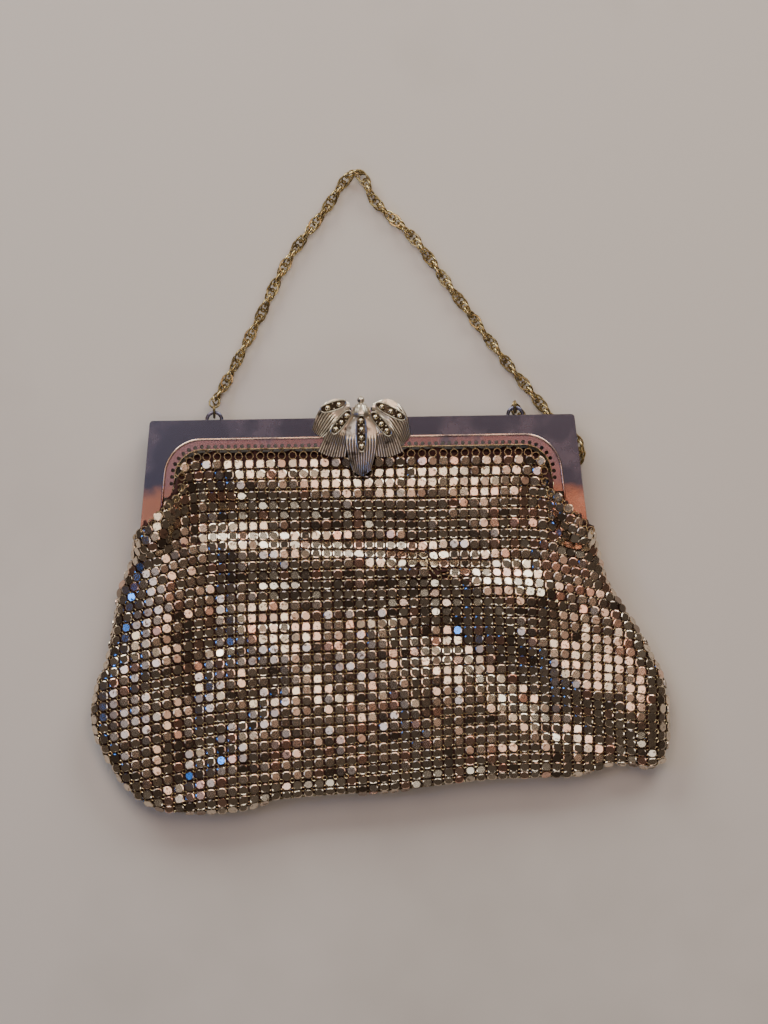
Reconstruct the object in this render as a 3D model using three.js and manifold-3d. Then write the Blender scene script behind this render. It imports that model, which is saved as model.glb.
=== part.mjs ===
// Metal mesh purse lying on its back: a hinged metal mouth frame with a pierced inner flange, a soft bag of
// small metal plates, a rope chain handle and a cast petal clasp set with cut stones. Millimetres, +Z up.
// The origin is the middle of the bag's flat underside, +Y points at the chain, +X to the right.

import * as THREE from 'three';
import { mergeGeometries, mergeVertices } from 'three/addons/utils/BufferGeometryUtils.js';
import Module from 'manifold-3d';

const wasm = await Module();
wasm.setup();

// Clearance between neighbouring pieces, and how far soldered parts sink into each other
const GAP = 0.3;
const SOLDER = 0.25;

// Facets thinner than this are dropped where cast shapes run into each other
const SLIVER = 0.01;

// Mouth frame
const FRAME_TOP = 85;
const FRAME_WIDTH = 154.8;
const FRAME_FLARE = 6;
const FRAME_DEPTH = 10;
const FRAME_LIFT = 4.6;
const SHEET = 0.9;
const BAND_WIDTH = 7.4;
const OUTER_CORNER = 1.3;
const INNER_CORNER = 13.5;
const BEAD_WIDTH = 0.8;
const BEAD_RISE = 0.35;
const FLANGE_WIDTH = 3.6;
const FLANGE_RECESS = 1.4;
const FLANGE_SHEET = 0.8;
const FLANGE_FOOT = 25.4;
const HOLE_RADIUS = 0.65;
const HOLE_PITCH = 3.4;
const HOLE_INSET = 2.0;

// Frame hinges
const HINGE_DROP = 42;
const EAR_RADIUS = 2.4;
const EAR_INSET = 0.6;
const HINGE_PIN_RADIUS = 1;
const RIVET_HEAD_RADIUS = 1.7;
const RIVET_HEAD = 0.5;

// Bag of plates
const BAG_HALF = 105.8;
const BAG_DROP = 143.8;
const BAG_WALL = 1.2;
const BAG_DEPTH = 12.8;
const EDGE_HEIGHT = 7;
const EDGE_ROUND = 9;
const HINGE_ROUND = 2.6;
const OVER_ARM = 1.9;

// How far down the bag, as a share of its rows, each height has eased from the mouth's to the open bag's
const FRONT_EASE = 0.09;
const BACK_EASE = 0.16;
const EDGE_EASE = 0.15;
const ROUND_EASE = 0.2;

// Chain handle, its bails and jump rings
const CHAIN_DIAMETER = 4;
const CHAIN_STEPS = 60;
const CHAIN_CLEARANCE = 0.05;
const BAIL_SPAN = 5.4;
const BAIL_WIRE = 1.3;
const BAIL_LEFT_X = -54;
const BAIL_RIGHT_X = 56;
const BAIL_DROP_BACK = 2;
const RING_RADIUS = 2.1;
const RING_WIRE = 1;

// Clasp
const ORNAMENT_WIDTH = 35.4;
const ORNAMENT_X = -0.3;
const ORNAMENT_SHEET = 1;
const TIER_RISE = 0.7;
const FLUTE_ROOT = 6;
const FLUTE_WIDTH = 1.15;
const STRIP_WIDTH = 3.4;
const STRIP_RISE = 1.1;
const STONE_RADIUS = 1.15;
const STONE_CROWN = 0.7;
const SOCKET_DEPTH = 0.4;
const STONE_CLEARANCE = 0.15;
const CLASP_LEG = 6.4;
const CLASP_PIVOT_OUT = 2.1;
const CLASP_PIVOT_BACK = 2;
const BARREL_RADIUS = 1.7;
const CLASP_PIN_RADIUS = 0.8;
const LUG_THICKNESS = 1.5;
const COLLAR_HEIGHT = 4;
const COLLAR_WIDTH = 7.1;
const COLLAR_FLATNESS = 0.55;
const NECK_RADIUS = 0.85;
const NECK_LENGTH = 2.8;
const BALL_RADIUS = 1.4;
const BALL_RISE = 2;
const HUB_RADIUS = 0.2;
const STUD_RADIUS = 1.6;

// Worked out from the sizes above
const FLARE = THREE.MathUtils.degToRad(FRAME_FLARE);
const HALF_DEPTH = FRAME_DEPTH / 2;
const MID_Z = FRAME_LIFT + HALF_DEPTH;
const FLANGE_TOP = HALF_DEPTH - FLANGE_RECESS;
const MOUTH_CORNER = INNER_CORNER - FLANGE_WIDTH;
const HINGE_X = FRAME_WIDTH / 2 + HINGE_DROP * Math.tan(FLARE);
const ORNAMENT_LOW = HALF_DEPTH + BEAD_RISE + GAP;
const CHAIN_Z = CHAIN_DIAMETER / 2 + CHAIN_CLEARANCE;
const BAIL_RISE = BAIL_SPAN / 2;

// Side edges of the bag: x as a share of the half width, y as a share of the drop below the top edge
const SIDE_EDGES = [
  { leftX: 0.796, leftY: 0.285, rightX: 0.796, rightY: 0.285 },
  { leftX: 0.81, leftY: 0.352, rightX: 0.811, rightY: 0.345 },
  { leftX: 0.852, leftY: 0.428, rightX: 0.842, rightY: 0.43 },
  { leftX: 0.866, leftY: 0.49, rightX: 0.892, rightY: 0.484 },
  { leftX: 0.897, leftY: 0.6, rightX: 0.973, rightY: 0.585 },
  { leftX: 0.928, leftY: 0.654, rightX: 1.022, rightY: 0.655 },
  { leftX: 0.956, leftY: 0.737, rightX: 1.044, rightY: 0.73 },
  { leftX: 0.943, leftY: 0.8, rightX: 1.045, rightY: 0.8 },
  { leftX: 0.903, leftY: 0.862, rightX: 1.04, rightY: 0.85 },
  { leftX: 0.846, leftY: 0.928, rightX: 1.023, rightY: 0.89 }
];

// Bottom edge of the bag from left to right, in the same shares
const BOTTOM_EDGE = [
  { x: -0.846, y: 0.928 },
  { x: -0.79, y: 0.968 },
  { x: -0.72, y: 0.99 },
  { x: -0.62, y: 1 },
  { x: -0.47, y: 0.996 },
  { x: -0.3, y: 0.969 },
  { x: -0.13, y: 0.96 },
  { x: 0.04, y: 0.955 },
  { x: 0.23, y: 0.941 },
  { x: 0.4, y: 0.926 },
  { x: 0.59, y: 0.923 },
  { x: 0.74, y: 0.917 },
  { x: 0.82, y: 0.897 },
  { x: 0.855, y: 0.889 },
  { x: 0.91, y: 0.894 },
  { x: 0.97, y: 0.905 },
  { x: 1.023, y: 0.89 }
];

// Folds of the front: line ends in the same shares, rise as a share of the bag's depth, widths of the slope
// above and below the line as shares of the drop
const FOLDS = [
  { fold: 'roll under flange', x1: -0.42, y1: 0.165, x2: 0.5, y2: 0.2, rise: 0.2, above: 0.05, below: 0.06 },
  { fold: 'first trough', x1: -0.5, y1: 0.25, x2: 0.54, y2: 0.36, rise: -0.22, above: 0.045, below: 0.045 },
  { fold: 'ridge, left', x1: -0.52, y1: 0.32, x2: 0.19, y2: 0.39, rise: 0.24, above: 0.035, below: 0.07 },
  { fold: 'ridge, right', x1: 0.19, y1: 0.39, x2: 0.6, y2: 0.46, rise: 0.24, above: 0.035, below: 0.06 },
  { fold: 'valley, start', x1: -0.36, y1: 0.45, x2: 0.27, y2: 0.54, rise: -0.16, above: 0.04, below: 0.09 },
  { fold: 'valley, end', x1: 0.27, y1: 0.54, x2: 0.87, y2: 0.88, rise: -0.3, above: 0.05, below: 0.09 },
  { fold: 'ridge over valley', x1: 0.4, y1: 0.45, x2: 0.93, y2: 0.8, rise: 0.26, above: 0.09, below: 0.05 },
  { fold: 'left crease', x1: -0.56, y1: 0.19, x2: -0.5, y2: 0.56, rise: -0.16, above: 0.04, below: 0.04 },
  { fold: 'left panel', x1: -0.7, y1: 0.3, x2: -0.72, y2: 0.62, rise: 0.12, above: 0.06, below: 0.06 },
  { fold: 'left crease', x1: -0.55, y1: 0.58, x2: -0.66, y2: 0.92, rise: -0.18, above: 0.045, below: 0.045 },
  { fold: 'left pleat', x1: -0.34, y1: 0.68, x2: -0.56, y2: 0.84, rise: -0.16, above: 0.04, below: 0.04 },
  { fold: 'middle pleat', x1: 0.06, y1: 0.56, x2: 0.24, y2: 0.84, rise: 0.12, above: 0.045, below: 0.045 },
  { fold: 'right pleat', x1: 0.3, y1: 0.64, x2: 0.64, y2: 0.85, rise: 0.13, above: 0.045, below: 0.045 },
  { fold: 'dent at clasp', x1: -0.1, y1: 0.12, x2: 0.1, y2: 0.12, rise: -0.1, above: 0.06, below: 0.06 }
];

// The mouth's way across each side arm: way is the share of the line from flange's foot to bag's side
// edge, share the column's share across the bag
const ARM_CROSSING = [
  { way: 1, share: 0 },
  { way: 0.954, share: 0.006 },
  { way: 0.865, share: 0.02 },
  { way: 0.52, share: 0.055 },
  { way: 0.16, share: 0.085 }
];
const MOUTH_SHARE = 0.11;
const MOUTH_STEPS = 18;
const BAG_ROWS = [0, 0.045, 0.1, 0.17, 0.25, 0.33, 0.42, 0.51, 0.61, 0.71, 0.81, 0.89, 0.95, 0.985, 1];

// Petals of the clasp: root, fan and stone strip as shares of the ornament's width, turns in degrees from
// straight down, tier counts the layers from the back
const PETALS = [
  { x: -0.12, y: 0.14, turn: -54, spread: 18, reach: 0.44, flutes: 6, tier: 0,
    fromX: -0.17, fromY: 0.155, toX: -0.4, toY: 0.085, stones: 2 },
  { x: 0.09, y: 0.14, turn: 52, spread: 18, reach: 0.46, flutes: 6, tier: 0,
    fromX: 0.17, fromY: 0.13, toX: 0.44, toY: -0.015, stones: 3 },
  { x: -0.11, y: 0.085, turn: -24, spread: 16, reach: 0.51, flutes: 6, tier: 1,
    fromX: -0.12, fromY: 0.055, toX: -0.29, toY: -0.15, stones: 3 },
  { x: 0.08, y: 0.085, turn: 21, spread: 16, reach: 0.52, flutes: 6, tier: 1,
    fromX: 0.12, fromY: 0.035, toX: 0.29, toY: -0.18, stones: 3 },
  { x: 0, y: -0.03, turn: 0, spread: 17, reach: 0.57, flutes: 8, tier: 2,
    fromX: 0, fromY: 0.01, toX: 0, toY: -0.34, stones: 4 }
];

// The chain's route from the left bail to the right one, from the middle of the frame's top edge; the last
// stretch runs under the frame's right corner and turns back
const CHAIN_ROUTE = [
  [-53.9, 6.4, 3.2], [-52.2, 9.6, 0.3], [-50.2, 12.8, 0], [-47.3, 18, 0], [-43.8, 24.6, 0], [-40, 31.5, 0],
  [-35.5, 40.2, 0], [-31.6, 48.2, 0], [-27.4, 56, 0], [-22.9, 62.9, 0], [-17.6, 69.6, 0], [-12.6, 75.9, 0],
  [-8.2, 81.8, 0], [-3.6, 86.6, 0], [0.4, 88.2, 0], [3, 84.6, 0], [5.2, 79.4, 0], [10.5, 74.6, 0],
  [15.6, 70, 0], [20.4, 64.9, 0], [24.6, 59.4, 0], [28.4, 54, 0], [32.1, 48.5, 0], [36, 43.1, 0],
  [40.2, 37.4, 0], [44.2, 31.6, 0], [48.3, 25.9, 0], [52.4, 20.4, 0], [56.8, 14.9, 0], [61.2, 9.4, 0],
  [65.4, 4, 0], [69.6, -1.2, 0], [74, -6.4, 0], [77.8, -11, 0], [78.6, -15.6, 0], [75.6, -18, 0],
  [72.2, -15.6, 0], [69, -11.2, 0], [65, -6.8, 0], [61, -3, 0], [58, -0.2, 0], [56.3, 2.2, 0.5], [56, 3, 2]
];

// Colours of the metals
const STEEL = new THREE.MeshStandardMaterial({ color: 0x6b5560, roughness: 0.3, metalness: 1 });
const PLATES = new THREE.MeshStandardMaterial({ color: 0xc9b8a4, roughness: 0.35, metalness: 1 });
const BRASS = new THREE.MeshStandardMaterial({ color: 0x8a7648, roughness: 0.4, metalness: 1 });
const SILVER = new THREE.MeshStandardMaterial({ color: 0x9c9484, roughness: 0.4, metalness: 1 });
const STONE = new THREE.MeshStandardMaterial({ color: 0xcfc49a, roughness: 0.15, metalness: 0.6 });

// Turns a three.js geometry into a solid for joining and cutting
function solid(geometry) {
  const bare = geometry.clone();
  bare.deleteAttribute('normal');
  bare.deleteAttribute('uv');
  const merged = mergeVertices(bare, 1e-5);
  return new wasm.Manifold(new wasm.Mesh({
    numProp: 3,
    vertProperties: merged.attributes.position.array,
    triVerts: new Uint32Array(merged.index.array)
  }));
}

// Joins a list of geometries into one solid
function fuse(geometries) {
  return geometries.map(solid).reduce((whole, piece) => whole.add(piece));
}

// Turns a solid back into a three.js geometry
function geometryOf(body) {
  const mesh = body.getMesh();
  const geometry = new THREE.BufferGeometry();
  geometry.setAttribute('position', new THREE.BufferAttribute(new Float32Array(mesh.vertProperties), 3));
  geometry.setIndex(new THREE.BufferAttribute(new Uint32Array(mesh.triVerts), 1));
  geometry.computeVertexNormals();
  return geometry;
}

function sidePoint(inset, y) {
  return FRAME_WIDTH / 2 - inset / Math.cos(FLARE) - y * Math.tan(FLARE);
}

// A line parallel to the frame's outline, from the left foot over both corners to the right foot
function framePath(inset, radius, foot, steps = 6) {
  const centreY = -inset - radius;
  const centreX = sidePoint(inset + radius, centreY);
  const right = [];
  for (let i = 0; i <= steps; i++) {
    const angle = THREE.MathUtils.lerp(Math.PI / 2, FLARE, i / steps);
    right.push(new THREE.Vector2(centreX + radius * Math.cos(angle), centreY + radius * Math.sin(angle)));
  }
  right.push(new THREE.Vector2(sidePoint(inset, -foot), -foot));
  const left = right.map((p) => new THREE.Vector2(-p.x, p.y)).reverse();
  return [...left, ...right];
}

// The point at a share of a line's length
function pointAlong(points, share) {
  const lengths = points.slice(1).map((p, i) => p.distanceTo(points[i]));
  let rest = share * lengths.reduce((sum, length) => sum + length, 0);
  for (let i = 0; i < lengths.length; i++) {
    if (rest <= lengths[i] || i === lengths.length - 1) {
      return points[i].clone().lerp(points[i + 1], rest / lengths[i]);
    }
    rest -= lengths[i];
  }
  return points[points.length - 1].clone();
}

function pathLength(points) {
  return points.slice(1).reduce((sum, p, i) => sum + p.distanceTo(points[i]), 0);
}

// A flat strip between two lines, raised from low to high
function strip(outer, inner, low, high, holes = []) {
  const shape = new THREE.Shape([...outer, ...inner.slice().reverse()]);
  shape.holes = holes;
  return new THREE.ExtrudeGeometry(shape, { depth: high - low, bevelEnabled: false }).translate(0, 0, low);
}

function circlePoints(x, y, radius, sides, from = 0, to = 2 * Math.PI) {
  const whole = to - from >= 2 * Math.PI - 1e-9;
  const count = whole ? sides : sides + 1;
  return Array.from({ length: count }, (_, i) => {
    const angle = from + (to - from) * (i / sides);
    return new THREE.Vector2(x + radius * Math.cos(angle), y + radius * Math.sin(angle));
  });
}

// The row of round holes in the flange
function flangeHoles() {
  const inset = BAND_WIDTH + HOLE_INSET;
  const line = framePath(inset, INNER_CORNER - HOLE_INSET, FLANGE_FOOT - HOLE_INSET, 12);
  const count = Math.floor(pathLength(line) / HOLE_PITCH);
  return Array.from({ length: count }, (_, i) => {
    const p = pointAlong(line, (i + 0.5) / count);
    return new THREE.Path(circlePoints(p.x, p.y, HOLE_RADIUS, 5));
  });
}

// An outline in the Y and Z directions, given its thickness along X from a low side
function sideways(points, low, thickness, holes = []) {
  const shape = new THREE.Shape(points);
  shape.holes = holes;
  const turn = new THREE.Matrix4().makeBasis(
    new THREE.Vector3(0, 1, 0), new THREE.Vector3(0, 0, 1), new THREE.Vector3(1, 0, 0));
  return new THREE.ExtrudeGeometry(shape, { depth: thickness, bevelEnabled: false })
    .applyMatrix4(turn).translate(low, 0, 0);
}

// A hinge ear that hangs from the face plate round the hinge axis
function ear(low) {
  const top = HALF_DEPTH - SHEET + SOLDER;
  const outline = [
    ...circlePoints(-HINGE_DROP, 0, EAR_RADIUS, 8, Math.PI, 2 * Math.PI),
    new THREE.Vector2(-HINGE_DROP + EAR_RADIUS, top),
    new THREE.Vector2(-HINGE_DROP - EAR_RADIUS, top)
  ];
  const bore = new THREE.Path(circlePoints(-HINGE_DROP, 0, HINGE_PIN_RADIUS + GAP, 10));
  return sideways(outline, low, SHEET, [bore]);
}

// One half of the frame, its face up and its open side at the middle plane
function frameHalf(earInset) {
  const foot = HINGE_DROP + EAR_RADIUS;
  const wallFoot = HINGE_DROP - EAR_RADIUS - GAP;
  const outline = framePath(0, OUTER_CORNER, HINGE_DROP, 2);
  const edge = framePath(BAND_WIDTH, INNER_CORNER, foot);
  const faceLow = HALF_DEPTH - SHEET;
  const parts = [
    strip(outline, edge, faceLow, HALF_DEPTH),
    strip(framePath(0, OUTER_CORNER, wallFoot, 2), framePath(SHEET, OUTER_CORNER - SHEET, wallFoot, 2),
      GAP / 2, faceLow + SOLDER),
    strip(framePath(BAND_WIDTH - SHEET, INNER_CORNER + SHEET, foot), edge,
      FLANGE_TOP - FLANGE_SHEET, faceLow + SOLDER),
    strip(framePath(BAND_WIDTH - BEAD_WIDTH, INNER_CORNER + BEAD_WIDTH, foot), edge,
      HALF_DEPTH - SOLDER, HALF_DEPTH + BEAD_RISE),
    strip(framePath(BAND_WIDTH - SOLDER, INNER_CORNER + SOLDER, FLANGE_FOOT),
      framePath(BAND_WIDTH + FLANGE_WIDTH, MOUTH_CORNER, FLANGE_FOOT),
      FLANGE_TOP - FLANGE_SHEET, FLANGE_TOP, flangeHoles()),
    ear(HINGE_X - earInset - SHEET),
    ear(-HINGE_X + earInset)
  ];
  return fuse(parts);
}

// A tube of round section along a curve through the points
function tube(points, diameter, steps, sides) {
  const curve = new THREE.CatmullRomCurve3(points, false, 'centripetal');
  const section = new THREE.Shape(circlePoints(0, 0, diameter / 2, sides));
  return new THREE.ExtrudeGeometry(section, { steps, extrudePath: curve, curveSegments: 1 });
}

// A wire staple soldered to the back half's top wall
function bail(x) {
  const arch = circlePoints(x, 0, BAIL_SPAN / 2, 8, 0, Math.PI)
    .map((p) => new THREE.Vector3(p.x, p.y, -BAIL_DROP_BACK));
  const foot = (side) => new THREE.Vector3(x + side * BAIL_SPAN / 2, -2 * SOLDER, -BAIL_DROP_BACK);
  const feet = [1, -1].map(foot);
  return tube([feet[0], ...arch, feet[1]], BAIL_WIRE, 12, 6);
}

// A lug on the back half that holds one end of the clasp's pin
function lug(low) {
  const outline = [
    ...circlePoints(CLASP_PIVOT_OUT, -CLASP_PIVOT_BACK, BARREL_RADIUS, 8, -Math.PI / 2, Math.PI / 2),
    new THREE.Vector2(-SOLDER, -CLASP_PIVOT_BACK + BARREL_RADIUS),
    new THREE.Vector2(-SOLDER, -CLASP_PIVOT_BACK - BARREL_RADIUS)
  ];
  const bore = new THREE.Path(circlePoints(CLASP_PIVOT_OUT, -CLASP_PIVOT_BACK, CLASP_PIN_RADIUS + GAP, 8));
  return sideways(outline, low, LUG_THICKNESS, [bore]);
}

function frameFront() {
  const stud = new THREE.CylinderGeometry(STUD_RADIUS, STUD_RADIUS, BEAD_RISE + SOLDER, 12)
    .rotateX(Math.PI / 2)
    .translate(ORNAMENT_X, -BAND_WIDTH / 2, HALF_DEPTH + (BEAD_RISE - SOLDER) / 2);
  return frameHalf(EAR_INSET).add(solid(stud));
}

function frameBack() {
  const half = solid(geometryOf(frameHalf(EAR_INSET + SHEET + GAP)).rotateY(Math.PI));
  const lugSide = CLASP_LEG / 2 + GAP;
  return [
    bail(BAIL_LEFT_X),
    bail(BAIL_RIGHT_X),
    lug(ORNAMENT_X + lugSide),
    lug(ORNAMENT_X - lugSide - LUG_THICKNESS)
  ].reduce((whole, piece) => whole.add(solid(piece)), half);
}

// A pin with a head at each end, lying along X
function headedPin(low, high, radius, headRadius, head) {
  const profile = [
    [0, low], [headRadius, low], [headRadius, low + head], [radius, low + head],
    [radius, high - head], [headRadius, high - head], [headRadius, high], [0, high]
  ].map(([r, h]) => new THREE.Vector2(r, h));
  return new THREE.LatheGeometry(profile, 10).rotateZ(-Math.PI / 2);
}

function hingePin(side) {
  const outer = HINGE_X - EAR_INSET + GAP + RIVET_HEAD;
  const inner = HINGE_X - EAR_INSET - 2 * SHEET - 2 * GAP - RIVET_HEAD;
  const pin = headedPin(inner, outer, HINGE_PIN_RADIUS, RIVET_HEAD_RADIUS, RIVET_HEAD);
  const turned = side < 0 ? pin.rotateY(Math.PI) : pin;
  return turned.translate(0, -HINGE_DROP, 0);
}

// A smooth line through points given in shares of the bag
function edgeCurve(points) {
  const places = points.map(([x, y]) => new THREE.Vector3(x * BAG_HALF, -y * BAG_DROP, 0));
  return new THREE.CatmullRomCurve3(places, false, 'centripetal');
}

const LEFT_EDGE = edgeCurve(SIDE_EDGES.map((row) => [-row.leftX, row.leftY]));
const RIGHT_EDGE = edgeCurve(SIDE_EDGES.map((row) => [row.rightX, row.rightY]));
const LOWER_EDGE = edgeCurve(BOTTOM_EDGE.map((row) => [row.x, row.y]));
const OUTLINE = [LEFT_EDGE, LOWER_EDGE, RIGHT_EDGE].map((curve) => curve.getSpacedPoints(40));

// The columns of the bag: each has its share across the bag, its point on the mouth, and its arm crossing
function mouthColumns() {
  const inset = BAND_WIDTH + FLANGE_WIDTH + GAP;
  const line = framePath(inset, MOUTH_CORNER - GAP, FLANGE_FOOT + 2 * GAP, 12);
  const left = line[0];
  const right = line[line.length - 1];
  const crossing = (foot, corner) => ARM_CROSSING.map((row) => ({
    share: row.share,
    overArm: true,
    x: THREE.MathUtils.lerp(foot.x, corner.x, row.way),
    y: THREE.MathUtils.lerp(foot.y, corner.y, row.way)
  }));
  const flange = Array.from({ length: MOUTH_STEPS + 1 }, (_, i) => {
    const p = pointAlong(line, i / MOUTH_STEPS);
    const share = THREE.MathUtils.lerp(MOUTH_SHARE, 1 - MOUTH_SHARE, i / MOUTH_STEPS);
    return { share, overArm: false, x: p.x, y: p.y };
  });
  const onRight = crossing(right, RIGHT_EDGE.getPoint(0));
  const mirrored = onRight.map((c) => ({ ...c, share: 1 - c.share })).reverse();
  return [...crossing(left, LEFT_EDGE.getPoint(0)), ...flange, ...mirrored];
}

// A point of the bag seen from above, from the four edges of the sheet
function planPoint(column, row, ends) {
  const u = column.share;
  const lower = LOWER_EDGE.getPointAt(u);
  const left = LEFT_EDGE.getPointAt(row);
  const right = RIGHT_EDGE.getPointAt(row);
  const across = (axis) => (1 - row) * column[axis] + row * lower[axis]
    + (1 - u) * left[axis] + u * right[axis]
    - (1 - u) * ((1 - row) * ends.topLeft[axis] + row * ends.lowLeft[axis])
    - u * ((1 - row) * ends.topRight[axis] + row * ends.lowRight[axis]);
  return new THREE.Vector3(across('x'), across('y'), 0);
}

function distanceToOutline(point) {
  let nearest = Infinity;
  const line = new THREE.Line3();
  const foot = new THREE.Vector3();
  for (const points of OUTLINE) {
    for (let i = 1; i < points.length; i++) {
      line.set(points[i - 1], points[i]).closestPointToPoint(point, true, foot);
      nearest = Math.min(nearest, foot.distanceTo(point));
    }
  }
  return nearest;
}

// The rise of one fold at a point seen from above
function foldRise(row, point) {
  const from = new THREE.Vector3(row.x1 * BAG_HALF, -row.y1 * BAG_DROP, 0);
  const to = new THREE.Vector3(row.x2 * BAG_HALF, -row.y2 * BAG_DROP, 0);
  const foot = new THREE.Line3(from, to).closestPointToPoint(point, true, new THREE.Vector3());
  const away = point.clone().sub(foot);
  const side = to.clone().sub(from).cross(away).z;
  const width = (side > 0 ? row.above : row.below) * BAG_DROP;
  return row.rise * BAG_DEPTH * Math.exp(-away.lengthSq() / (width * width));
}

// The rise where the bag passes over the end of a side arm
function armRise(point) {
  const side = Math.sign(point.x);
  const top = new THREE.Vector3(side * sidePoint(BAND_WIDTH, -FLANGE_FOOT), -FLANGE_FOOT, 0);
  const end = new THREE.Vector3(side * (HINGE_X - BAND_WIDTH / 2), -HINGE_DROP, 0);
  const foot = new THREE.Line3(top, end).closestPointToPoint(point, true, new THREE.Vector3());
  const rise = FRAME_LIFT + FRAME_DEPTH + BAG_WALL + OVER_ARM - BAG_DEPTH;
  return rise * Math.exp(-((point.distanceTo(foot) / BAND_WIDTH) ** 4));
}

const smooth = (value) => THREE.MathUtils.smoothstep(value, 0, 1);

// Heights of the front and the back of the bag at a point seen from above
function bagHeights(point, column, row) {
  const folds = FOLDS.reduce((sum, fold) => sum + foldRise(fold, point), 0);
  const open = BAG_DEPTH + folds + armRise(point);
  const rimFront = column.overArm ? open : MID_Z + FLANGE_TOP + GAP;
  const rimBack = column.overArm ? 0 : MID_Z - FLANGE_TOP - GAP;
  const front = THREE.MathUtils.lerp(rimFront, open, smooth(row / FRONT_EASE));
  const back = THREE.MathUtils.lerp(rimBack, 0, smooth(row / BACK_EASE));
  const edge = THREE.MathUtils.lerp(MID_Z, EDGE_HEIGHT, smooth(row / EDGE_EASE));
  const round = THREE.MathUtils.lerp(HINGE_ROUND, EDGE_ROUND, smooth(row / ROUND_EASE));
  const onEdge = row === 1 || column.share === 0 || column.share === 1;
  const near = onEdge ? 1 : 1 - Math.min(distanceToOutline(point) / round, 1);
  const roll = Math.sqrt(1 - near * near);
  return { front: THREE.MathUtils.lerp(edge, front, roll), back: THREE.MathUtils.lerp(edge, back, roll) };
}

// Outward directions of a grid of points, whose rows run down the bag and columns across it
function gridNormals(grid, outward) {
  return grid.map((line, i) => line.map((_, j) => {
    const across = line[Math.min(j + 1, line.length - 1)].clone().sub(line[Math.max(j - 1, 0)]);
    const down = grid[Math.min(i + 1, grid.length - 1)][j].clone().sub(grid[Math.max(i - 1, 0)][j]);
    return down.cross(across).multiplyScalar(outward).normalize();
  }));
}

// A sheet through a grid of points
function sheet(grid, turned) {
  const columns = grid[0].length - 1;
  const geometry = new THREE.PlaneGeometry(1, 1, columns, grid.length - 1);
  grid.flat().forEach((p, i) => geometry.attributes.position.setXYZ(i, p.x, p.y, p.z));
  if (turned) {
    const index = geometry.index.array;
    for (let i = 0; i < index.length; i += 3) {
      [index[i], index[i + 1]] = [index[i + 1], index[i]];
    }
  }
  geometry.deleteAttribute('normal');
  geometry.deleteAttribute('uv');
  return geometry;
}

function meshBag() {
  const columns = mouthColumns();
  const ends = {
    topLeft: columns[0],
    topRight: columns[columns.length - 1],
    lowLeft: LOWER_EDGE.getPoint(0),
    lowRight: LOWER_EDGE.getPoint(1)
  };
  const front = [];
  const back = [];
  for (const row of BAG_ROWS) {
    const plan = columns.map((column) => planPoint(column, row, ends));
    const heights = plan.map((p, j) => bagHeights(p, columns[j], row));
    front.push(plan.map((p, j) => new THREE.Vector3(p.x, p.y, heights[j].front)));
    back.push(plan.map((p, j) => new THREE.Vector3(p.x, p.y, heights[j].back)));
  }
  const up = gridNormals(front, 1);
  const down = gridNormals(back, -1);
  columns.forEach((column, j) => {
    if (!column.overArm) {
      up[0][j].set(0, 0, 1);
      down[0][j].set(0, 0, -1);
    }
  });
  const onEdge = (i, j) => i === front.length - 1 || j === 0 || j === columns.length - 1;
  const inward = (grid, normals) => grid.map((line, i) => line.map((p, j) => {
    const n = onEdge(i, j) ? up[i][j].clone().add(down[i][j]).normalize() : normals[i][j];
    return p.clone().addScaledVector(n, -BAG_WALL);
  }));
  const frontIn = inward(front, up);
  const backIn = inward(back, down);
  const merged = mergeGeometries([
    sheet(front, false),
    sheet(back, true),
    sheet(frontIn, true),
    sheet(backIn, false),
    sheet([frontIn[0], front[0]], false),
    sheet([back[0], backIn[0]], false)
  ]);
  const geometry = mergeVertices(merged, 1e-4);
  geometry.computeVertexNormals();
  return geometry;
}

function chainTube() {
  const points = CHAIN_ROUTE.map(([x, y, rise]) => new THREE.Vector3(x, FRAME_TOP + y, CHAIN_Z + rise));
  return tube(points, CHAIN_DIAMETER, CHAIN_STEPS, 8);
}

// A round link that passes through a bail
function jumpRing() {
  return new THREE.TorusGeometry(RING_RADIUS, RING_WIRE / 2, 6, 14).rotateY(Math.PI / 2);
}

// The fan of one petal: a thin plate with raised flutes
function fan(row) {
  const reach = row.reach * ORNAMENT_WIDTH;
  const half = THREE.MathUtils.degToRad(row.spread);
  const low = ORNAMENT_LOW + row.tier * TIER_RISE;
  const sector = [
    ...circlePoints(0, 0, reach, 6, -Math.PI / 2 - half, -Math.PI / 2 + half),
    new THREE.Vector2(0, 0)
  ];
  const thickness = ORNAMENT_SHEET + (row.tier > 0 ? SOLDER : 0);
  const plate = new THREE.ExtrudeGeometry(new THREE.Shape(sector), { depth: thickness, bevelEnabled: false })
    .translate(0, 0, low + ORNAMENT_SHEET - thickness);
  const pitch = 2 * half / row.flutes;
  const outer = reach * pitch * FLUTE_WIDTH / 2;
  const root = outer * FLUTE_ROOT / reach;
  const length = reach - FLUTE_ROOT;
  const flutes = Array.from({ length: row.flutes }, (_, i) => {
    const angle = -half + (i + 0.5) * pitch;
    return new THREE.CylinderGeometry(root, outer, length, 4)
      .translate(0, -FLUTE_ROOT - length / 2, 0)
      .rotateZ(angle)
      .translate(0, 0, low + ORNAMENT_SHEET);
  });
  const turn = THREE.MathUtils.degToRad(row.turn);
  return [plate, ...flutes].map((piece) => piece.rotateZ(turn)
    .translate(row.x * ORNAMENT_WIDTH, row.y * ORNAMENT_WIDTH, 0));
}

function stripTop(row) {
  return ORNAMENT_LOW + row.tier * TIER_RISE + ORNAMENT_SHEET + STRIP_RISE;
}

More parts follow.
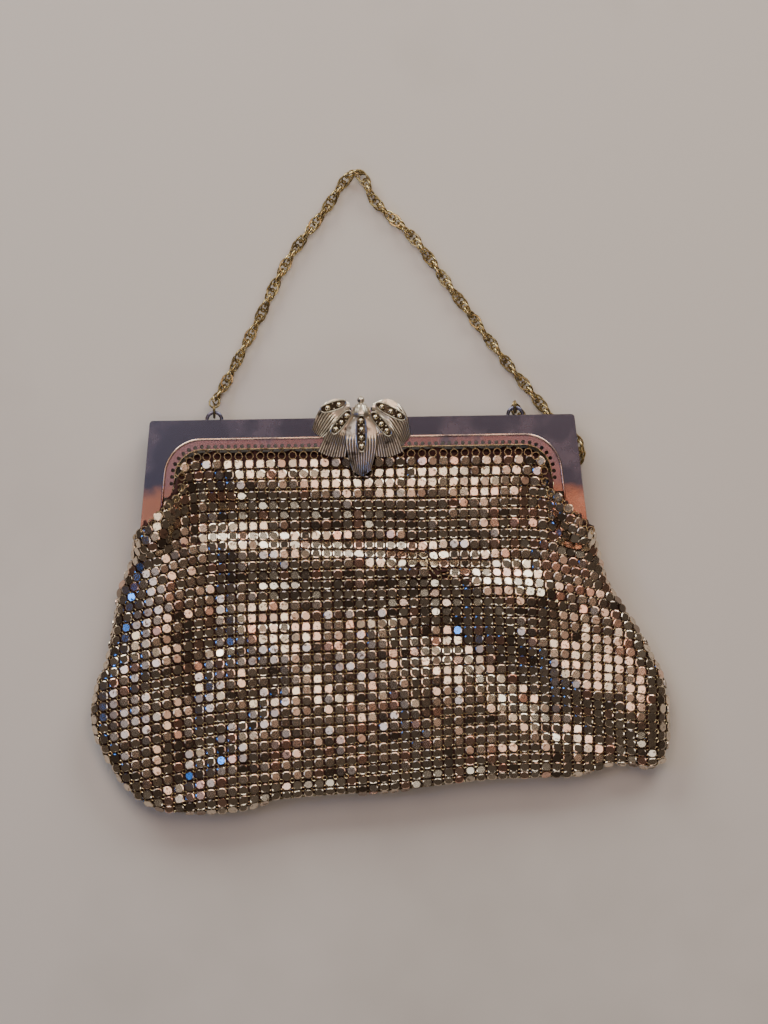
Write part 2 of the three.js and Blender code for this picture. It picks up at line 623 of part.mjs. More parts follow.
// The raised bar that holds a petal's stones
function stoneStrip(row) {
  const from = new THREE.Vector2(row.fromX, row.fromY).multiplyScalar(ORNAMENT_WIDTH);
  const to = new THREE.Vector2(row.toX, row.toY).multiplyScalar(ORNAMENT_WIDTH);
  const turn = Math.atan2(to.y - from.y, to.x - from.x);
  const half = STRIP_WIDTH / 2;
  const length = from.distanceTo(to);
  const outline = [
    ...circlePoints(length - half / 2, 0, half, 6, -Math.PI / 2, Math.PI / 2),
    ...circlePoints(half / 2, 0, half, 6, Math.PI / 2, 1.5 * Math.PI)
  ];
  const low = ORNAMENT_LOW;
  const settings = { depth: stripTop(row) - low, bevelEnabled: false };
  return new THREE.ExtrudeGeometry(new THREE.Shape(outline), settings)
    .rotateZ(turn).translate(from.x, from.y, low);
}

// Middles of a petal's stones, on the top of its strip
function stonePlaces(row) {
  return Array.from({ length: row.stones }, (_, i) => {
    const share = (i + 0.5) / row.stones;
    return new THREE.Vector3(
      THREE.MathUtils.lerp(row.fromX, row.toX, share) * ORNAMENT_WIDTH,
      THREE.MathUtils.lerp(row.fromY, row.toY, share) * ORNAMENT_WIDTH,
      stripTop(row)
    );
  });
}

// The arm that wraps over the frame's top edge down to the hinge barrel
function claspLeg() {
  const low = CLASP_PIVOT_OUT - BARREL_RADIUS;
  const high = CLASP_PIVOT_OUT + BARREL_RADIUS;
  const outline = [
    ...circlePoints(CLASP_PIVOT_OUT, -CLASP_PIVOT_BACK, BARREL_RADIUS, 8, Math.PI, 2 * Math.PI),
    new THREE.Vector2(high, ORNAMENT_LOW + ORNAMENT_SHEET),
    new THREE.Vector2(low, ORNAMENT_LOW + ORNAMENT_SHEET)
  ];
  const bore = new THREE.Path(circlePoints(CLASP_PIVOT_OUT, -CLASP_PIVOT_BACK, CLASP_PIN_RADIUS + GAP, 8));
  return sideways(outline, -CLASP_LEG / 2, CLASP_LEG, [bore]);
}

// The bell collar, neck and ball at the top of the ornament
function claspFinial() {
  const low = CLASP_PIVOT_OUT - BARREL_RADIUS;
  const middle = ORNAMENT_LOW + ORNAMENT_SHEET + TIER_RISE;
  const collar = new THREE.CylinderGeometry(COLLAR_WIDTH / 4, COLLAR_WIDTH / 2, COLLAR_HEIGHT, 12)
    .scale(1, 1, COLLAR_FLATNESS).translate(0, low + COLLAR_HEIGHT / 2, middle);
  const neck = new THREE.CylinderGeometry(NECK_RADIUS, NECK_RADIUS, NECK_LENGTH, 8)
    .translate(0, low + COLLAR_HEIGHT, middle);
  const ball = new THREE.SphereGeometry(BALL_RADIUS, 10, 8)
    .translate(0, low + COLLAR_HEIGHT + BALL_RISE, middle);
  return [collar, neck, ball];
}

// The round plate at the back from which the petals and the finial grow
function claspHub() {
  const radius = HUB_RADIUS * ORNAMENT_WIDTH;
  return new THREE.CylinderGeometry(radius, radius, ORNAMENT_SHEET, 16)
    .rotateX(Math.PI / 2)
    .translate(0, 0, ORNAMENT_LOW + ORNAMENT_SHEET / 2);
}

function claspShell() {
  const leaves = [...PETALS.flatMap(fan), ...PETALS.map(stoneStrip)];
  const body = fuse([claspHub(), ...leaves, claspLeg(), ...claspFinial()]);
  const radius = STONE_RADIUS + STONE_CLEARANCE;
  const sockets = PETALS.flatMap(stonePlaces).map((p) => solid(
    new THREE.CylinderGeometry(radius, radius, 2 * SOCKET_DEPTH, 8)
      .rotateX(Math.PI / 2).translate(p.x, p.y, p.z)));
  return sockets.reduce((whole, socket) => whole.subtract(socket), body).simplify(SLIVER);
}

// A cut stone: eight crown facets round a flat table
function stone() {
  const girdle = [STONE_RADIUS, STONE_CROWN / 3];
  const table = [STONE_RADIUS / 2, STONE_CROWN];
  const profile = [[0, 0], girdle, table, [0, STONE_CROWN]].map(([r, h]) => new THREE.Vector2(r, h));
  return new THREE.LatheGeometry(profile, 8).rotateX(Math.PI / 2);
}

function claspPin() {
  const reach = CLASP_LEG / 2 + GAP + LUG_THICKNESS + GAP;
  const head = CLASP_PIN_RADIUS + GAP + SOLDER;
  return headedPin(-reach - RIVET_HEAD, reach + RIVET_HEAD, CLASP_PIN_RADIUS, head, RIVET_HEAD);
}

function named(name, geometry, material) {
  const mesh = new THREE.Mesh(geometry, material);
  mesh.name = name;
  return mesh;
}

const purse = new THREE.Group();

const frame = new THREE.Group();
frame.position.set(0, FRAME_TOP, MID_Z);
frame.add(named('frame_front', geometryOf(frameFront()), STEEL));
frame.add(named('frame_back', geometryOf(frameBack()), STEEL));
frame.add(named('hinge_pin_left', hingePin(-1), STEEL));
frame.add(named('hinge_pin_right', hingePin(1), STEEL));
[['jump_ring_left', BAIL_LEFT_X], ['jump_ring_right', BAIL_RIGHT_X]].forEach(([name, x]) => {
  const ring = named(name, jumpRing(), BRASS);
  ring.position.set(x, BAIL_RISE + GAP, -BAIL_DROP_BACK - GAP);
  frame.add(ring);
});
purse.add(frame);

const clasp = new THREE.Group();
clasp.position.set(ORNAMENT_X, 0, 0);
clasp.add(named('clasp_shell', geometryOf(claspShell()), SILVER));
PETALS.flatMap(stonePlaces).forEach((place, i) => {
  const gem = named(`stone_${String(i + 1).padStart(2, '0')}`, stone(), STONE);
  gem.position.set(place.x, place.y, place.z - SOCKET_DEPTH + STONE_CLEARANCE);
  clasp.add(gem);
});
const pin = named('clasp_pin', claspPin(), STEEL);
pin.position.set(0, CLASP_PIVOT_OUT, -CLASP_PIVOT_BACK);
clasp.add(pin);
frame.add(clasp);

const bag = named('mesh_bag', meshBag(), PLATES);
bag.position.set(0, FRAME_TOP, 0);
purse.add(bag);
purse.add(named('chain', chainTube(), BRASS));

export default purse;
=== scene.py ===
"""Looks of a metal mesh purse lying on its back.

It has a mesh of small plates, a pressed mouth frame, a rope chain and a petal clasp.
"""

import logging
import math
from dataclasses import dataclass
from enum import Enum

import bpy
import numpy as np
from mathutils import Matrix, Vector


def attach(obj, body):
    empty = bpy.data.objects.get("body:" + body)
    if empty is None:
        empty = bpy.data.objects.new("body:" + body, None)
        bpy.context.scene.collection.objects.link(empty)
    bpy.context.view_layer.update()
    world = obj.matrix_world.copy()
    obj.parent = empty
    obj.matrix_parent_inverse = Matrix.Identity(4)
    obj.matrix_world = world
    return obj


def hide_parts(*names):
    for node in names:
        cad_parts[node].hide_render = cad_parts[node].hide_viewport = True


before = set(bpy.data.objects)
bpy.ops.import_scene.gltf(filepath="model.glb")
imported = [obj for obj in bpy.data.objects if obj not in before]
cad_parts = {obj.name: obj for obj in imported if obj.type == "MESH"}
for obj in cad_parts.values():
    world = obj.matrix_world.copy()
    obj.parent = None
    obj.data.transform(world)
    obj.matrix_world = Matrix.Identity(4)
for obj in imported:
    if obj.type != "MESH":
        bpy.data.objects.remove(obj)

LOG = logging.getLogger("purse")
MM = 0.001
# Height of the frame's top edge above the origin, along Y
FRAME_TOP = 85.0
Number = float | np.ndarray


class Body(Enum):
    """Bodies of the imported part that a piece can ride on."""

    PURSE = "purse"
    CLASP = "clasp"


class Slot(Enum):
    """Material slots of the record."""

    FRAME = "frame_metal"
    PLATE = "plate_metal"
    CHAIN = "chain_metal"
    CLASP = "clasp_metal"
    STONE = "clasp_stone"


class Side(Enum):
    """The two sides of the bag."""

    FRONT = 1
    BACK = -1


# Small helpers


def linear(code: str) -> tuple[float, float, float, float]:
    """Turns an sRGB colour code into a linear colour.

    Args:
        code: Colour as six hexadecimal digits after a hash sign.

    Returns:
        Linear red, green and blue with full alpha.
    """
    parts = [int(code[i : i + 2], 16) / 255 for i in (1, 3, 5)]
    made = [c / 12.92 if c <= 0.04045 else ((c + 0.055) / 1.055) ** 2.4 for c in parts]
    return (made[0], made[1], made[2], 1.0)


def lerp(low: Number, high: Number, share: Number) -> Number:
    """Goes from one value to another.

    Args:
        low: Value at share 0.
        high: Value at share 1.
        share: How far to go.

    Returns:
        The value between the two.
    """
    return low + (high - low) * share


def smooth(value: Number) -> Number:
    """Eases a value between 0 and 1.

    Args:
        value: Number or array, clipped to 0 and 1.

    Returns:
        The eased value.
    """
    t = np.clip(value, 0, 1)
    return t * t * (3 - 2 * t)


def smooth_line(points: np.ndarray, count: int) -> np.ndarray:
    """Draws a smooth line through points, evenly spaced along its length.

    Args:
        points: Points of the line, one a row.
        count: Number of points wanted.

    Returns:
        The new points, one a row.
    """
    pts = np.asarray(points, float)
    ends = np.vstack([2 * pts[0] - pts[1], pts, 2 * pts[-1] - pts[-2]])
    t = np.linspace(0, 1, 24, endpoint=False)[:, None]
    made = []
    for p0, p1, p2, p3 in zip(ends, ends[1:], ends[2:], ends[3:]):
        d0, d1, d2 = (max(np.linalg.norm(b - a), 1e-9) ** 0.5 for a, b in ((p0, p1), (p1, p2), (p2, p3)))
        m1 = ((p1 - p0) / d0 - (p2 - p0) / (d0 + d1) + (p2 - p1) / d1) * d1
        m2 = ((p2 - p1) / d1 - (p3 - p1) / (d1 + d2) + (p3 - p2) / d2) * d1
        made.append(p1 + m1 * t + (3 * (p2 - p1) - 2 * m1 - m2) * t**2 + (2 * (p1 - p2) + m1 + m2) * t**3)
    return even_line(np.vstack([*made, pts[-1]]), count)


def even_line(points: np.ndarray, count: int) -> np.ndarray:
    """Spaces the points of a line evenly.

    Args:
        points: Points of the line, one a row.
        count: Number of points wanted.

    Returns:
        The new points, one a row.
    """
    steps = np.linalg.norm(np.diff(points, axis=0), axis=1)
    along = np.concatenate([[0], np.cumsum(steps)])
    wanted = np.linspace(0, along[-1], count)
    return np.stack([np.interp(wanted, along, points[:, k]) for k in range(points.shape[1])], axis=1)


def length_of(points: np.ndarray) -> float:
    """Measures a line.

    Args:
        points: Points of the line, one a row.

    Returns:
        Its length.
    """
    return float(np.linalg.norm(np.diff(points, axis=0), axis=1).sum())


def distance_to(spots: np.ndarray, line: np.ndarray) -> np.ndarray:
    """Measures how far spots are from a line.

    Args:
        spots: Places in the plane, one a row.
        line: Points of the line, one a row.

    Returns:
        The distance of each spot.
    """
    a, d = line[:-1], np.diff(line, axis=0)
    away = spots[:, None, :] - a[None]
    share = np.clip((away * d).sum(2) / np.maximum((d * d).sum(1), 1e-12), 0, 1)
    return np.sqrt((((away - share[..., None] * d) ** 2).sum(2)).min(1))


def inside(spots: np.ndarray, ring: np.ndarray) -> np.ndarray:
    """Tells which spots lie inside a closed line.

    Args:
        spots: Places in the plane, one a row.
        ring: Points of the closed line, one a row.

    Returns:
        True for each spot inside.
    """
    a, b = ring, np.roll(ring, -1, axis=0)
    x, y = spots[:, :1], spots[:, 1:]
    crosses = (a[:, 1] > y) != (b[:, 1] > y)
    rise = np.where(np.abs(b[:, 1] - a[:, 1]) < 1e-12, 1e-12, b[:, 1] - a[:, 1])
    return (crosses & (x < (b[:, 0] - a[:, 0]) * (y - a[:, 1]) / rise + a[:, 0])).sum(1) % 2 == 1


@dataclass
class Shape:
    """A mesh as arrays in millimetres, measured from the middle of the frame's top edge.

    Attributes:
        vertices: Points, one a row.
        corners: Point numbers of all faces, one after another.
        counts: Number of corners of each face.
    """

    vertices: np.ndarray
    corners: np.ndarray
    counts: np.ndarray

    def stamped(self, turns: np.ndarray, places: np.ndarray) -> "Shape":
        """Copies the shape to many places.

        Args:
            turns: Turning matrix of each copy.
            places: Middle of each copy.

        Returns:
            All the copies as one shape.
        """
        size, many = len(self.vertices), len(places)
        vertices = np.einsum("nij,kj->nki", turns, self.vertices) + places[:, None, :]
        corners = self.corners[None] + size * np.arange(many)[:, None]
        return Shape(vertices.reshape(-1, 3), corners.ravel(), np.tile(self.counts, many))


def joined(shapes: list[Shape]) -> Shape:
    """Joins shapes into one.

    Args:
        shapes: The shapes to join.

    Returns:
        One shape with all the faces.
    """
    starts = np.cumsum([0] + [len(s.vertices) for s in shapes[:-1]])
    return Shape(
        np.vstack([s.vertices for s in shapes]),
        np.concatenate([s.corners + start for s, start in zip(shapes, starts)]),
        np.concatenate([s.counts for s in shapes]),
    )


def grid_faces(rows: int, columns: int, turned: bool = False, closed: bool = False) -> np.ndarray:
    """Lists the quads of a grid of points.

    Args:
        rows: Number of rows of points.
        columns: Number of points in a row.
        turned: True to face the other way.
        closed: True to join the last column to the first.

    Returns:
        Four point numbers a row.
    """
    i, j = np.meshgrid(np.arange(rows - 1), np.arange(columns if closed else columns - 1), indexing="ij")
    a, b = i * columns + j, i * columns + (j + 1) % columns
    quads = np.stack([a, a + columns, b + columns, b], axis=-1).reshape(-1, 4)
    return quads[:, ::-1] if turned else quads


def from_quads(vertices: np.ndarray, quads: np.ndarray) -> Shape:
    """Makes a shape of quads.

    Args:
        vertices: Points, one a row.
        quads: Four point numbers a row.

    Returns:
        The shape.
    """
    return Shape(np.asarray(vertices, float), quads.ravel(), np.full(len(quads), 4))


def tube_shape(points: np.ndarray, radius: float, sides: int, closed: bool = False) -> Shape:
    """Makes a round wire along a line.

    Args:
        points: Points of the line, one a row.
        radius: Radius of the wire.
        sides: Number of sides round the wire.
        closed: True if the line ends where it starts.

    Returns:
        The wire, with closed ends.
    """
    pts = np.asarray(points, float)
    ahead = np.roll(pts, -1, 0) - np.roll(pts, 1, 0) if closed else np.gradient(pts, axis=0)
    ahead /= np.linalg.norm(ahead, axis=1, keepdims=True)
    across = np.cross(ahead, [0, 0, 1.0])
    across[np.linalg.norm(across, axis=1) < 1e-3] = [1.0, 0, 0]
    across /= np.linalg.norm(across, axis=1, keepdims=True)
    upward = np.cross(across, ahead)
    angle = np.arange(sides) * 2 * math.pi / sides
    ring = np.cos(angle)[None, :, None] * across[:, None] + np.sin(angle)[None, :, None] * upward[:, None]
    vertices = (pts[:, None] + radius * ring).reshape(-1, 3)
    rows = len(pts)
    if closed:
        vertices = np.vstack([vertices, vertices[:sides]])
        quads = grid_faces(rows + 1, sides, closed=True) % (rows * sides)
        return from_quads(vertices[: rows * sides], quads)
    body = from_quads(vertices, grid_faces(rows, sides, closed=True))
    caps = [np.arange(sides), np.arange(sides)[::-1] + (rows - 1) * sides]
    counts = np.concatenate([body.counts, [sides, sides]])
    return Shape(vertices, np.concatenate([body.corners, *caps]), counts)


def outward(shape: Shape) -> Shape:
    """Turns the faces of a closed shape so that they face outward.

    Args:
        shape: A closed shape whose faces all turn the same way.

    Returns:
        The shape with its faces outward.
    """
    starts = np.concatenate([[0], np.cumsum(shape.counts)[:-1]])
    which = np.repeat(np.arange(len(shape.counts)), shape.counts)
    number = np.arange(len(shape.corners))
    place = number - starts[which]
    following = np.where(place + 1 < shape.counts[which], number + 1, starts[which])
    following = np.minimum(following, len(number) - 1)
    first, here, ahead = (shape.vertices[shape.corners[k]] for k in (starts[which], number, following))
    if (np.cross(here, ahead) * first).sum() >= 0:
        return shape
    mirrored = starts[which] + shape.counts[which] - 1 - place
    return Shape(shape.vertices, shape.corners[mirrored], shape.counts)


def between_sheets(upper: np.ndarray, lower: np.ndarray) -> Shape:
    """Closes the space between two sheets of points.

    Args:
        upper: Points of the upper sheet by row and column.
        lower: Points of the lower sheet by row and column.

    Returns:
        A closed shape.
    """
    rows, columns = upper.shape[:2]
    size = rows * columns
    number = np.arange(size).reshape(rows, columns)
    rim = np.concatenate([number[0, :-1], number[:-1, -1], number[-1, :0:-1], number[:0:-1, 0]])
    ahead = np.roll(rim, -1)
    walls = np.stack([rim, ahead, ahead + size, rim + size], axis=1)
    quads = np.vstack([grid_faces(rows, columns), grid_faces(rows, columns, True) + size, walls[:, ::-1]])
    return outward(from_quads(np.vstack([upper.reshape(-1, 3), lower.reshape(-1, 3)]), quads))


def add_object(name: str, shape: Shape, shade: float | None = 30) -> bpy.types.Object:
    """Makes an object of a shape, at its place in the row frame.

    Args:
        name: Name of the object.
        shape: The mesh in millimetres.
        shade: Edges flatter than this many degrees are shaded smooth, none of them if it is None.

    Returns:
        The new object.
    """
    mesh = bpy.data.meshes.new(name)
    mesh.vertices.add(len(shape.vertices))
    mesh.vertices.foreach_set("co", ((shape.vertices + [0, FRAME_TOP, 0]) * MM).astype(np.float32).ravel())
    mesh.loops.add(len(shape.corners))
    mesh.loops.foreach_set("vertex_index", shape.corners.astype(np.int32))
    mesh.polygons.add(len(shape.counts))
    starts = np.concatenate([[0], np.cumsum(shape.counts)[:-1]])
    mesh.polygons.foreach_set("loop_start", starts.astype(np.int32))
    mesh.update(calc_edges=True)
    mesh.validate()
    made = bpy.data.objects.new(name, mesh)
    bpy.context.collection.objects.link(made)
    if shade is not None:
        pick(made)
        bpy.ops.object.shade_smooth_by_angle(angle=math.radians(shade))
    return made


def pick(made: bpy.types.Object) -> None:
    """Selects one object alone.

    Args:
        made: The object.
    """
    bpy.ops.object.select_all(action="DESELECT")
    made.select_set(True)
    bpy.context.view_layer.objects.active = made


def taken(made: bpy.types.Object) -> Shape:
    """Reads an object's mesh and removes the object.

    Args:
        made: An object whose mesh is in millimetres.

    Returns:
        Its mesh as a shape.
    """
    mesh = made.data
    vertices = np.zeros(3 * len(mesh.vertices))
    mesh.vertices.foreach_get("co", vertices)
    corners = np.zeros(len(mesh.loops), np.int32)
    mesh.loops.foreach_get("vertex_index", corners)
    counts = np.zeros(len(mesh.polygons), np.int32)
    mesh.polygons.foreach_get("loop_total", counts)
    bpy.data.objects.remove(made)
    return Shape(vertices.reshape(-1, 3), corners, counts)


def edit(made: bpy.types.Object, chosen: str = "SELECT") -> None:
    """Goes into edit mode.

    Args:
        made: The object to edit.
        chosen: What to do with the selection.
    """
    pick(made)
    bpy.ops.object.mode_set(mode="EDIT")
    bpy.ops.mesh.select_all(action=chosen)


def leave() -> None:
    """Makes the normals point outward and leaves edit mode."""
    bpy.ops.mesh.select_all(action="SELECT")
    bpy.ops.mesh.normals_make_consistent(inside=False)
    bpy.ops.object.mode_set(mode="OBJECT")


def slab(outline: np.ndarray, low: float, high: float, bevel: float = 0.0, segments: int = 2) -> Shape:
    """Makes a plate from an outline, with rounded upper edges.

    Args:
        outline: Points of the outline, one a row.
        low: Height of the underside.
        high: Height of the top.
        bevel: Width of the rounding of the upper edge.
        segments: Number of steps of the rounding.

    Returns:
        The plate.
    """
    mesh = bpy.data.meshes.new("slab")
    mesh.from_pydata([(x, y, low) for x, y in outline], [], [tuple(range(len(outline)))])
    made = bpy.data.objects.new("slab", mesh)
    bpy.context.collection.objects.link(made)
    edit(made)
    bpy.ops.mesh.extrude_region_move(TRANSFORM_OT_translate={"value": (0, 0, high - low)})
    if bevel:
        bpy.ops.mesh.bevel(offset=bevel, segments=segments, affect="EDGES", clamp_overlap=True)
    leave()
    return taken(made)


# Finishes


@dataclass(frozen=True)
class Finish:
    """A metal finish with wear, and on the frame a painted salmon reflection at the arm ends.

    Attributes:
        name: The real material and how it is made.
        colour: Main colour as a code.
        worn: Colour of the worn or tarnished spots.
        roughness: Roughness of the main surface.
        worn_roughness: Roughness of the worn spots.
        spot: Size of a spot in millimetres.
        amount: Share that is worn.
        metallic: Metallic value.
        bump: Depth of fine unevenness in millimetres.
        tinted: True to take the main colour from the tint attribute.
        ends: Colour at the ends of the side arms, a painted salmon reflection.
        painted_reflection_from: Where the painted reflection starts, measured up from the origin in
            millimetres.
        painted_reflection_to: Where the painted reflection is full.
    """

    name: str
    colour: str
    worn: str
    roughness: float
    worn_roughness: float
    spot: float = 6.0
    amount: float = 0.4
    metallic: float = 1.0
    bump: float = 0.0
    tinted: bool = False
    # Colour and reach of the painted salmon reflection at the arm ends
    ends: str | None = None
    painted_reflection_from: float = 60.0
    painted_reflection_to: float = 50.0

    def material(self) -> bpy.types.Material:
        """Makes the material.

        Returns:
            The material.
        """
        made = bpy.data.materials.new(self.name)
        made.use_nodes = True
        tree = made.node_tree
        shader = tree.nodes["Principled BSDF"]
        place = node(tree, "ShaderNodeTexCoord")
        spots = node(
            tree,
            "ShaderNodeTexNoise",
            {"Scale": 1 / (self.spot * MM), "Detail": 5.0, "Roughness": 0.6},
            {"Vector": place.outputs["Object"]},
        )
        cover = node(
            tree,
            "ShaderNodeMapRange",
            {"From Min": 0.62 - 0.3 * self.amount, "From Max": 0.72 - 0.2 * self.amount},
            {"Value": spots.outputs["Fac"]},
        )
        blend = node(tree, "ShaderNodeMix", {}, {"Factor": cover.outputs["Result"]}, data_type="RGBA")
        blend.inputs["A"].default_value = linear(self.colour)
        blend.inputs["B"].default_value = linear(self.worn)
        if self.tinted:
            tint = node(tree, "ShaderNodeAttribute", attribute_name="tint")
            tree.links.new(tint.outputs["Color"], blend.inputs["A"])
        base = blend.outputs["Result"]
        # The ends colour is a painted salmon reflection, mixed in towards the lower ends of the side arms
        # with a patchy edge
        if self.ends:
            apart = node(tree, "ShaderNodeSeparateXYZ", {}, {"Vector": place.outputs["Object"]})
            patchy = node(
                tree,
                "ShaderNodeMath",
                {1: 20 * MM},
                {0: spots.outputs["Fac"], 2: apart.outputs["Y"]},
                operation="MULTIPLY_ADD",
            )
            reach = node(
                tree,
                "ShaderNodeMapRange",
                {"From Min": (self.painted_reflection_from + 10) * MM, "From Max": (self.painted_reflection_to + 10) * MM},
                {"Value": patchy.outputs["Value"]},
            )
            worn = node(
                tree, "ShaderNodeMix", {}, {"Factor": reach.outputs["Result"], "A": base}, data_type="RGBA"
            )
            worn.inputs["B"].default_value = linear(self.ends)
            base = worn.outputs["Result"]
        rough = node(
            tree,
            "ShaderNodeMapRange",
            {"To Min": self.roughness, "To Max": self.worn_roughness},
            {"Value": cover.outputs["Result"]},
        )
        tree.links.new(base, shader.inputs["Base Color"])
        tree.links.new(rough.outputs["Result"], shader.inputs["Roughness"])
        shader.inputs["Metallic"].default_value = self.metallic
        if self.bump:
            fine = node(
                tree,
                "ShaderNodeTexNoise",
                {"Scale": 3 / (self.spot * MM), "Detail": 3.0},
                {"Vector": place.outputs["Object"]},
            )
            bump = node(
                tree,
                "ShaderNodeBump",
                {"Strength": 0.6, "Distance": self.bump * MM},
                {"Height": fine.outputs["Fac"]},
            )
            tree.links.new(bump.outputs["Normal"], shader.inputs["Normal"])
        return made


def node(
    tree: bpy.types.NodeTree, kind: str, values: dict | None = None, links: dict | None = None, **settings
) -> bpy.types.Node:
    """Adds a shader node.

    Args:
        tree: The node tree.
        kind: Type of the node.
        values: Values of its inputs by name.
        links: Sockets that feed its inputs by name.
        settings: Settings of the node itself.

    Returns:
        The new node.
    """
    made = tree.nodes.new(kind)
    for name, value in settings.items():
        setattr(made, name, value)
    for name, value in (values or {}).items():
        made.inputs[name].default_value = value
    for name, source in (links or {}).items():
        tree.links.new(source, made.inputs[name])
    return made


# Nickel-plated steel strip, pressed and polished, clouded by age; its tint carries painted reflections and a
# painted highlight on band, bead and flange, and a painted salmon reflection at the arm ends
FRAME_METAL = Finish(
    "nickel-plated pressed steel", "#5e6074", "#6a6676", 0.22, 0.32, spot=22, amount=0.4, tinted=True,
    ends="#c8907c", painted_reflection_from=60, painted_reflection_to=56,
)
# Rivets and hinge pin, turned
PIN_METAL = Finish("turned steel pins", "#a08f98", "#857078", 0.2, 0.3, spot=5, amount=0.5)
# Stamped brass plates with a worn silver wash, each with its own tone; the coppery tones are partly wear and
# partly a painted salmon reflection
PLATE_METAL = Finish(
    "stamped plates with worn silver wash", "#d8cbb8", "#7a6658", 0.16, 0.3, spot=1.3, amount=0.22,
    tinted=True,
)
# Twisted brass wire, drawn and tarnished
LINK_METAL = Finish("tarnished brass wire", "#cdbb8a", "#7a6846", 0.24, 0.42, spot=3, amount=0.5)
# Wire rings and prongs between the plates
RING_METAL = Finish("brass rings between the plates", "#c4b490", "#75654c", 0.24, 0.4, spot=3, amount=0.4)
# Cast white metal, silvered and darker in its flute valleys and stone seats, with painted shade on the
# undersides of the petals
CAST_METAL = Finish(
    "cast silvered white metal", "#c4bcae", "#6d6458", 0.28, 0.4, spot=5, amount=0.25, tinted=True
)
# Cut marcasite
STONE_METAL = Finish("cut marcasite", "#f4ead0", "#e0d4a8", 0.2, 0.3, spot=1.5, amount=0.3)
# Woven cloth lining, dark maroon
LINING_CLOTH = Finish(
    "dark maroon lining cloth", "#3a1c1a", "#482622", 0.85, 0.95, spot=1, amount=0.5, metallic=0.0, bump=0.1
)


@dataclass
class Piece:
    """A finished piece of the visual model.

    Attributes:
        name: Name of the object.
        shape: The mesh.
        finish: The finish.
        body: Body that it moves with.
        slot: Material slot of the record, if it has one; not used.
        stands_for: CAD nodes that it replaces.
        shade: Edges flatter than this many degrees are smooth.
        tint: Colour of each point, for a finish that is tinted.
    """

    name: str
    shape: Shape
    finish: Finish
    body: Body
    slot: Slot | None = None
    stands_for: tuple[str, ...] = ()
    shade: float | None = 30
    tint: np.ndarray | None = None

    def build(self, materials: dict[str, bpy.types.Material]) -> bpy.types.Object:
        """Makes the object, gives it its material and joins it to its body.

        Args:
            materials: Materials made so far, by finish name.

        Returns:
            The object.
        """
        made = add_object(self.name, self.shape, self.shade)
        if self.finish.name not in materials:
            materials[self.finish.name] = self.finish.material()
        made.data.materials.append(materials[self.finish.name])
        if self.tint is not None:
            colours = made.data.attributes.new("tint", "FLOAT_COLOR", "POINT")
            colours.data.foreach_set("color", self.tint.astype(np.float32).ravel())
        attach(made, self.body.value)
        if self.stands_for:
            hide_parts(*self.stands_for)
        LOG.info("%s: %d faces", self.name, len(self.shape.counts))
        return made


# Mouth frame


@dataclass
class FrameSizes:
    """Sizes of the mouth frame in millimetres."""

    width: float = 154.8
    flare: float = math.radians(6)
    depth: float = 10.0
    lift: float = 4.6
    sheet: float = 0.9
    band: float = 7.4
    outer_corner: float = 1.3
    inner_corner: float = 13.5
    bead: float = 0.8
    bead_rise: float = 0.35
    flange: float = 3.6
    recess: float = 1.4
    flange_sheet: float = 0.8
    flange_foot: float = 25.4
    flange_more: float = 2.6
    hole: float = 0.72
    hole_pitch: float = 2.4
    hole_inset: float = 2.4
    hinge_drop: float = 42.0
    ear: float = 2.4
    gap: float = 0.3
    bevel: float = 0.3
    wall_step: float = 0.02
    ear_reach: float = 0.6
    clasp_middle: float = -0.3
    stud: float = 1.6
    stud_sheet: float = 0.6
    stud_drop: float = 3.7
    stud_height: float = 5.05
    bails: tuple[float, float] = (-54.0, 56.0)
    bail: float = 2.7
    bail_wire: float = 0.65
    bail_depth: float = 2.0
    lug: float = 1.7
    lug_sheet: float = 1.5
    lug_inner: float = 3.5
    lug_out: float = 2.1
    lug_back: float = 2.0

    @property
    def middle(self) -> float:
        """Height of the frame's middle plane.

        Returns:
            The height.
        """
        return self.lift + self.depth / 2

    @property
    def flange_top(self) -> float:
        """Height of the flange's face above the middle plane.

        Returns:
            The height.
        """
        return self.depth / 2 - self.recess

    def side(self, inset: float, y: float) -> float:
        """Places the frame's side edge.

        Args:
            inset: Distance inward from the outline.
            y: Height along the arm, negative below the top edge.

        Returns:
            Distance from the middle.
        """
        return self.width / 2 - inset / math.cos(self.flare) - y * math.tan(self.flare)

    def line(self, inset: float, radius: float, foot: float, steps: int = 14) -> np.ndarray:
        """Draws a line parallel to the outline, from the left foot to the right foot.

        Args:
            inset: Distance inward from the outline.
            radius: Radius of its corners.
            foot: How far its ends are below the top edge.
            steps: Number of steps of a corner.

        Returns:
            Points, one a row.
        """
        y = -inset - radius
        x = self.side(inset + radius, y)
        angle = np.linspace(math.pi / 2, self.flare, steps + 1)
        right = np.stack([x + radius * np.cos(angle), y + radius * np.sin(angle)], axis=1)
        right = np.vstack([right, [self.side(inset, -foot), -foot]])
        return np.vstack([right[::-1] * [-1, 1], right])


# Tones of the frame's band, bead and flange, and of the flange's underside: the dark band and pink flange are
# painted reflections, the pale bead a painted highlight and the underside a painted shade
BAND_PAINTED_REFLECTION = "#5e6074"
BEAD_PAINTED_HIGHLIGHT = "#ffe2d0"
FLANGE_PAINTED_REFLECTION = "#b08a90"
SHADE_TONE = "#1c1614"


